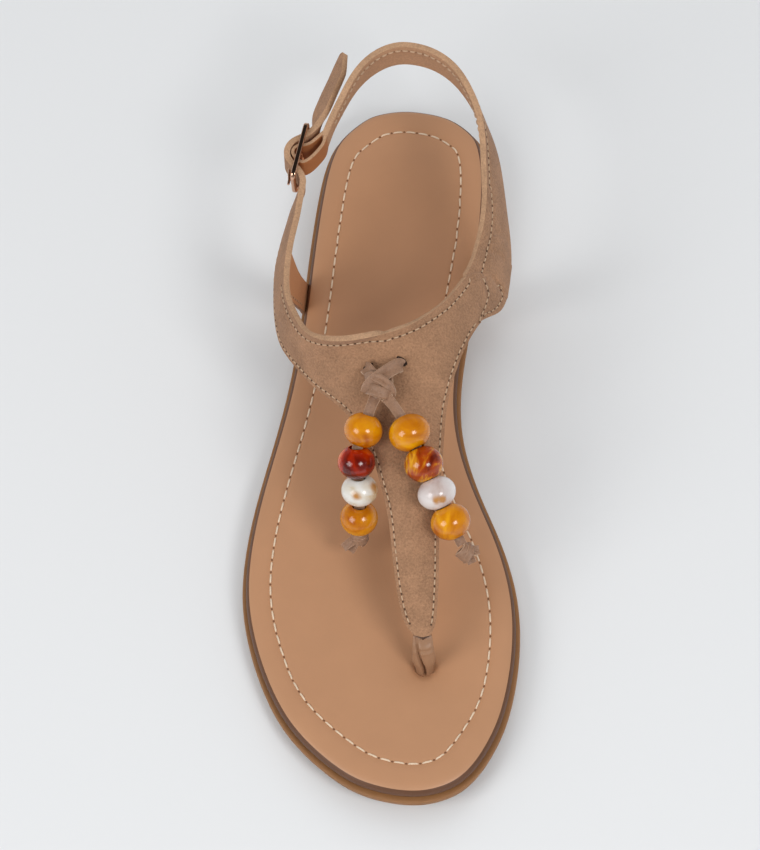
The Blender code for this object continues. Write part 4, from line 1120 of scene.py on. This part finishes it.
def prong_profile(index, angle):
    ahead, behind = prong_run[min(index + 1, len(prong_run) - 1)], prong_run[max(index - 1, 0)]
    across = (ahead - behind).cross(up).normalized()
    share = index / (len(prong_run) - 1)
    radius = PRONG_DIAMETER / 2 * (1 - PRONG_TAPER * smooth_share(PRONG_TAPER_FROM, 1.0, share))
    return across * radius * math.cos(angle) + up * radius * math.sin(angle)


prong_points = []
prong_faces = swept(prong_points, prong_run, PRONG_SIDES, prong_profile)
fasten(mesh_piece("prong_bar", prong_points, prong_faces, rose_gold), "rose_gold", "buckle_prong")

# Tie: one flat suede lace led out of two slits in the vamp. Its legs cross, two turns of the
# lace wrap the crossing, and the two ends come out below it.
LACE_THICKNESS = 1.2
LACE_SIDES = 32
# Sides of the section that are its two cut edges, paler as cut suede and paler still as a painted highlight
LACE_HIGHLIGHT_SIDES = (0, 1, 14, 15, 16, 31)
LACE_SQUARE = 0.45
LACE_STEPS = 6
LACE_FACING = Vector((0.0, -0.45, 0.9)).normalized()
# Strands of the tie as places, width and curl of the edges: both legs, the start of the lateral
# end, the right side of the knot, and the two turns of the wrap
TIE_STRANDS = (
    (((-8.2, -99.6, 56.4), (-7.9, -101.0, 58.6), (-6.4, -103.2, 59.1),
      (-4.2, -106.0, 58.9), (-2.4, -109.4, 58.4), (-1.4, -111.3, 58.4)), 4.0, 0.4),
    (((2.3, -99.2, 57.4), (1.6, -100.4, 59.7), (-1.2, -102.8, 60.7),
      (-4.4, -105.6, 60.9), (-6.8, -107.8, 60.0), (-7.6, -109.0, 58.2)), 4.4, 0.4),
    (((-4.4, -108.4, 58.6), (-4.9, -109.6, 58.6), (-5.4, -110.7, 57.2)), 3.5, 1.2),
    (((-1.7, -102.9, 58.4), (-1.2, -105.4, 59.5), (-1.2, -107.8, 59.8), (-1.6, -109.8, 58.8)), 2.8, -0.3),
    (((-8.0, -104.0, 58.6), (-6.6, -104.8, 60.9), (-4.0, -106.4, 62.0),
      (-1.6, -108.0, 61.4), (-0.4, -109.2, 59.6), (-0.6, -110.0, 57.8)), 3.1, -0.4),
    (((-7.8, -107.4, 57.8), (-6.8, -108.8, 60.0), (-4.6, -110.2, 60.9),
      (-2.2, -110.6, 60.2), (-0.8, -110.0, 58.4)), 3.6, -0.4),
)
TIE_THICKNESS = 1.5
# Depth of the fold along the middle of a strand, and its width as a share of half the strand
TIE_FOLD = 0.9
FOLD_WIDTH = 0.4
LACE_TAUPE = (148, 112, 87)
# Colour of the cut edges: pale cut suede, lightened further as a painted highlight
LACE_EDGE_AND_HIGHLIGHT = (200, 170, 143)
lace_finish = grained("lace_suede", LACE_TAUPE, (1700.0, 0.8), (140.0, 0.4), 0.2, Roughness=0.44,
                      Sheen_Weight=0.1, Sheen_Roughness=0.5, Specular_IOR_Level=0.5)
lace_edge_highlight = grained("lace_edge_highlight", LACE_EDGE_AND_HIGHLIGHT, (2600.0, 0.5), (200.0, 0.3), 0.1, Roughness=0.7)


def steady(value):
    """A width or curl that stays the same along a strand."""
    return lambda share: value


def lace_profile(route, width, curl, thickness, fold, facings):
    """Section of a flat lace along a route; width and curl of its edges go by the share along it."""
    def at(index, angle):
        ahead, behind = route[min(index + 1, len(route) - 1)], route[max(index - 1, 0)]
        across = (ahead - behind).cross(facings[index] if facings else LACE_FACING).normalized()
        out = across.cross(ahead - behind).normalized()
        share = index / (len(route) - 1)
        x, y = math.cos(angle), math.sin(angle)
        flat = math.copysign(abs(x) ** LACE_SQUARE, x)
        deep = math.copysign(abs(y) ** LACE_SQUARE, y)
        crease = fold * math.sin(math.pi * share) * math.exp(-(flat / FOLD_WIDTH) ** 2)
        rise = curl(share) * flat * flat - crease
        return across * flat * width(share) / 2 + out * (deep * thickness / 2 + rise)
    return at


def lace_piece(name, strands, thickness=LACE_THICKNESS, fold=0.0):
    """Strands of lace as one object, each a route, width, curl and facings; cut edges are paler, as cut suede
    and as a painted highlight.
    """
    points = []
    faces = []
    edges = []
    for route, width, curl, facings in strands:
        made = swept(points, route, LACE_SIDES, lace_profile(route, width, curl, thickness, fold, facings))
        edges += [index % LACE_SIDES in LACE_HIGHLIGHT_SIDES for index in range(len(made) - 2)] + [True, True]
        faces += made
    piece = mesh_piece(name, points, faces, lace_finish, lace_edge_highlight, sharp=70.0)
    for face, cut in zip(piece.data.polygons, edges):
        face.material_index = int(cut)
    return piece


tie_strands = [(spline(places, LACE_STEPS), steady(width), steady(curl), None)
               for places, width, curl in TIE_STRANDS]
fasten(lace_piece("tie_crossing", tie_strands, TIE_THICKNESS, TIE_FOLD), "lace", "tie_knot")

# Beads: four of glossy resin on each end of the lace, ochre, amber, shell-like and ochre again.
# Each is a turned ball with a drilled hole and a rounded lip, threaded on the lace.
BEAD_HOLE_RADIUS = 2.2
BEAD_FACE_RADIUS = 2.5
BEAD_LIP = 0.02
BEAD_SIDES = 64
BEAD_RINGS = 28
# Middle of each along its end of the lace, length and radius
LATERAL_BEADS = ((10.4, 9.9, 6.0), (20.9, 9.6, 5.8), (30.5, 9.0, 5.7), (41.2, 10.2, 5.9))
MEDIAL_BEADS = ((13.0, 10.5, 6.5), (23.5, 10.2, 6.0), (33.2, 9.2, 6.0), (43.0, 10.2, 6.2))
# Shares of a noise and the colours there
OCHRE = ((0.30, (168, 86, 2)), (0.50, (204, 126, 4)), (0.70, (224, 154, 10)))
AMBER_RED = ((0.34, (92, 8, 0)), (0.48, (180, 40, 1)), (0.62, (242, 112, 3)))
AMBER_GOLD = ((0.34, (108, 26, 1)), (0.48, (172, 66, 2)), (0.58, (240, 170, 26)), (0.70, (150, 50, 2)))
SHELL_CREAM = (
    (0.30, (190, 146, 88)), (0.42, (206, 184, 150)), (0.54, (218, 211, 198)), (0.75, (228, 226, 222)),
)
SHELL_PEARL = (
    (0.30, (186, 166, 158)), (0.42, (204, 191, 187)), (0.55, (216, 207, 204)), (0.75, (228, 222, 220)),
)
# Brown spots of the two shell-like beads: middle and radius
SHELL_SPOT = (182, 128, 70)
CREAM_SPOTS = (((-11.2, -137.1, 42.8), 1.9), ((-5.6, -132.9, 42.6), 1.8))
PEARL_SPOTS = (((13.6, -142.9, 50.8), 1.3), ((15.7, -142.5, 50.8), 1.0))
# A spot fades out between these shares of its radius, and its rim is ragged by so much
SPOT_FADE = (1.5, 0.2)
SPOT_RAGGED = 4.0
# Slot, name, colours, streaks a metre, their stretch and shift, share of light let through, spots
LATERAL_RESINS = (
    ("bead_ochre", "ochre_lateral_1", OCHRE, 90.0, (1.0, 1.0, 2.0), (0.0, 0.0, 0.0), 0.0, ()),
    ("bead_amber", "amber_lateral", AMBER_RED, 90.0, (1.4, 0.7, 0.7), (0.02, 0.0, 0.0), 0.15, ()),
    ("bead_shell", "shell_lateral", SHELL_CREAM, 140.0, (1.0, 1.0, 1.0), (0.0, 0.03, 0.0), 0.0, CREAM_SPOTS),
    ("bead_ochre", "ochre_lateral_4", OCHRE, 90.0, (1.0, 1.0, 2.0), (0.04, 0.0, 0.0), 0.0, ()),
)
MEDIAL_RESINS = (
    ("bead_ochre", "ochre_medial_1", OCHRE, 90.0, (1.0, 1.0, 2.0), (0.0, 0.05, 0.0), 0.0, ()),
    ("bead_amber", "amber_medial", AMBER_GOLD, 120.0, (1.2, 0.6, 0.6), (0.06, 0.0, 0.0), 0.15, ()),
    ("bead_shell", "shell_medial", SHELL_PEARL, 100.0, (1.0, 1.0, 1.0), (0.0, 0.07, 0.0), 0.0, PEARL_SPOTS),
    ("bead_ochre", "ochre_medial_4", OCHRE, 90.0, (2.2, 1.0, 1.0), (0.08, 0.0, 0.0), 0.0, ()),
)


def resin(name, stops, scale, stretch, shift, clear, spots):
    """Glossy resin with its colours drawn out in streaks, and brown spots on some."""
    finish, tree, shader = new_finish(name, Roughness=0.17, IOR=1.55, Transmission_Weight=clear)
    where = add_node(tree, "ShaderNodeTexCoord")
    moved = add_node(tree, "ShaderNodeMapping", {
        "Vector": where.outputs["Object"], "Location": shift, "Scale": stretch})
    streaks = add_node(tree, "ShaderNodeTexNoise", {
        "Vector": moved.outputs["Vector"], "Scale": scale, "Detail": 4.0, "Distortion": 0.9})
    ramp = add_node(tree, "ShaderNodeValToRGB", {"Fac": streaks.outputs["Fac"]})
    while len(ramp.color_ramp.elements) < len(stops):
        ramp.color_ramp.elements.new(1.0)
    for element, (at, colour) in zip(ramp.color_ramp.elements, stops):
        element.position = at
        element.color = linear(colour)
    colour = ramp.outputs["Color"]
    for middle, radius in spots:
        off = add_node(tree, "ShaderNodeVectorMath", {
            0: where.outputs["Object"], 1: Vector(middle) * MM}, operation="DISTANCE")
        ragged = add_node(tree, "ShaderNodeMath", {
            0: streaks.outputs["Fac"], 1: SPOT_RAGGED * MM, 2: off.outputs["Value"]},
            operation="MULTIPLY_ADD")
        outer, inner = ((share * radius + SPOT_RAGGED / 2) * MM for share in SPOT_FADE)
        inside = add_node(tree, "ShaderNodeMapRange", {
            "Value": ragged.outputs["Value"], "From Min": outer, "From Max": inner},
            interpolation_type="SMOOTHSTEP")
        mix = add_node(tree, "ShaderNodeMix", {
            0: inside.outputs["Result"], 6: colour, 7: linear(SHELL_SPOT)}, data_type="RGBA")
        colour = mix.outputs[2]
    tree.links.new(colour, shader.inputs["Base Color"])
    return finish


def bead_profile(bead_radius, length):
    """Radius and place along the bead: outer side with a rounded lip, then the hole."""
    half = length / 2
    start = math.acos(BEAD_FACE_RADIUS / bead_radius)
    profile = []
    for ring in range(BEAD_RINGS + 1):
        angle = start * (1 - 2 * ring / BEAD_RINGS)
        profile.append((bead_radius * math.cos(angle), half * math.sin(angle) / math.sin(start)))
    lip = (BEAD_FACE_RADIUS - BEAD_HOLE_RADIUS) / 2
    profile += [(BEAD_HOLE_RADIUS + lip, -half - BEAD_LIP), (BEAD_HOLE_RADIUS, -half + lip)]
    profile += [(BEAD_HOLE_RADIUS, half - lip), (BEAD_HOLE_RADIUS + lip, half + BEAD_LIP)]
    return profile


def along_route(route, distance):
    """The place at a distance along a route of points."""
    for start, end in zip(route, route[1:]):
        span = (end - start).length
        if distance <= span:
            return start + (end - start) * (distance / span)
        distance -= span
    return route[-1]


def thread_bead(side, number, route, sizes, made_of):
    """One bead on an end of the lace, turned the way the lace runs there."""
    middle, length, radius = sizes
    slot, *streaks = made_of
    start, end = along_route(route, middle - length / 2), along_route(route, middle + length / 2)
    along = (end - start).normalized()
    spot = (start + end + 2 * along_route(route, middle)) / 4
    turn = along.to_track_quat("Z", "Y").to_matrix()
    profile = bead_profile(radius, length)
    points = []
    for reach, height in profile:
        for step in range(BEAD_SIDES):
            angle = math.tau * step / BEAD_SIDES
            points.append(spot + turn @ Vector((reach * math.cos(angle), reach * math.sin(angle), height)))
    rings = len(profile)
    faces = [face for ring in range(rings)
             for face in ring_faces(ring * BEAD_SIDES, BEAD_SIDES, (ring + 1) % rings * BEAD_SIDES)]
    bead = mesh_piece("%s_bead_%d" % (side, number), points, faces, resin(*streaks), sharp=80.0)
    return fasten(bead, slot, "bead_%s_%d" % (side, number))


# End knots: below the last bead the lace is wound about itself and drawn tight, and its two
# cut tails stick out. The knots stop the beads.
KNOT_DEPTH = 2.5
KNOT_STEPS = 72
KNOT_TURNS = 2.2
KNOT_CORD = 2.3
KNOT_CURL = -0.25
# Reach of the first and last turn as a share of the widest
KNOT_NARROW = 0.7
# The turns lie unevenly: waves to a turn, and their size as a share of the knot's height
KNOT_WAVES = 1.5
KNOT_WAVE = 0.06
TAIL_WIDTH = 2.8
TAIL_CURL = 0.4
# Radius and height of the turns, tilt, and the places of the two tails
LATERAL_KNOT = ((2.3, 2.4), (0.0, 0.0, 0.0), (
    ((-13.4, -141.4, 21.4), (-15.9, -142.6, 19.6)), ((-12.6, -141.8, 20.4), (-13.8, -142.6, 18.0))))
MEDIAL_KNOT = ((2.6, 3.4), (0.3, 0.3, 0.0), (
    ((24.4, -152.2, 36.2), (26.4, -151.6, 35.8)), ((23.6, -153.4, 34.8), (24.4, -154.6, 33.2))))


def end_knot(side, route, size, tilt, tails):
    """The knot at the end of a route, with its turns and its tails."""
    along = (route[-1] - route[-2]).normalized()
    middle = route[-1] + along * (KNOT_DEPTH + GAP)
    turn = (along + Vector(tilt)).normalized().to_track_quat("Z", "Y").to_matrix()
    wound = []
    facings = []
    for step in range(KNOT_STEPS + 1):
        share = step / KNOT_STEPS
        angle = math.tau * KNOT_TURNS * share
        reach = size[0] * (KNOT_NARROW + (1 - KNOT_NARROW) * math.sin(math.pi * share))
        level = size[1] * (share - 0.5 + KNOT_WAVE * math.sin(angle * KNOT_WAVES))
        facings.append(turn @ Vector((math.cos(angle), math.sin(angle), 0.0)))
        wound.append(middle + facings[-1] * reach + turn.col[2] * level)
    strands = [(wound, steady(KNOT_CORD), steady(KNOT_CURL), facings)]
    for tail in tails:
        strands.append((spline([middle, *tail], LACE_STEPS), steady(TAIL_WIDTH), steady(TAIL_CURL), None))
    knot = lace_piece("knot_" + side, strands, TIE_THICKNESS, TIE_FOLD / 2)
    return fasten(knot, "lace", "end_knot_" + side)


# Hanging ends: each end of the lace runs out of the tie, through its four beads and into its
# end knot. The lace is flat where it shows and folded together inside the beads.
LATERAL_END = (
    (-5.4, -110.7, 57.2), (-6.6, -113.7, 56.6), (-8.9, -119.8, 53.4), (-11.5, -126.8, 47.2),
    (-10.1, -132.7, 39.4), (-10.9, -137.0, 30.6), (-11.0, -139.3, 24.6),
)
MEDIAL_END = (
    (-1.4, -111.3, 58.4), (1.6, -115.4, 58.1), (5.4, -121.7, 56.4), (9.6, -130.2, 51.9),
    (13.7, -138.0, 47.3), (17.9, -145.2, 42.0), (21.4, -150.6, 37.4),
)
CORD_STEPS = 3
# Curl of the edges where each end leaves the tie
LATERAL_CURL = 1.4
MEDIAL_CURL = 0.15
# Width in the open, width and curl inside the beads, and the shares of the length over which
# the lace gets there
LACE_WIDTH = 3.5
WIDTH_IN_BEAD = 3.2
CURL_IN_BEAD = 0.9
NARROWING = (0.02, 0.11)
CURLING = (0.04, 0.14)


def easing(start, end, shares):
    """A width or curl that goes from start to end between two shares of a strand."""
    return lambda share: start + (end - start) * smooth_share(*shares, share)


def hanging_end(side, places, curl, beads, resins, knot):
    """One end of the lace with its beads and its knot."""
    route = spline(places, CORD_STEPS)
    width = easing(LACE_WIDTH, WIDTH_IN_BEAD, NARROWING)
    strand = (route, width, easing(curl, CURL_IN_BEAD, CURLING), None)
    lace = fasten(lace_piece("hanging_lace_" + side, [strand]), "lace", "tie_end_" + side)
    on_lace = [thread_bead(side, number, route, sizes, made_of)
               for number, (sizes, made_of) in enumerate(zip(beads, resins), 1)]
    on_lace.append(end_knot(side, route, *knot))


hanging_end("lateral", LATERAL_END, LATERAL_CURL, LATERAL_BEADS, LATERAL_RESINS, LATERAL_KNOT)
hanging_end("medial", MEDIAL_END, MEDIAL_CURL, MEDIAL_BEADS, MEDIAL_RESINS, MEDIAL_KNOT)
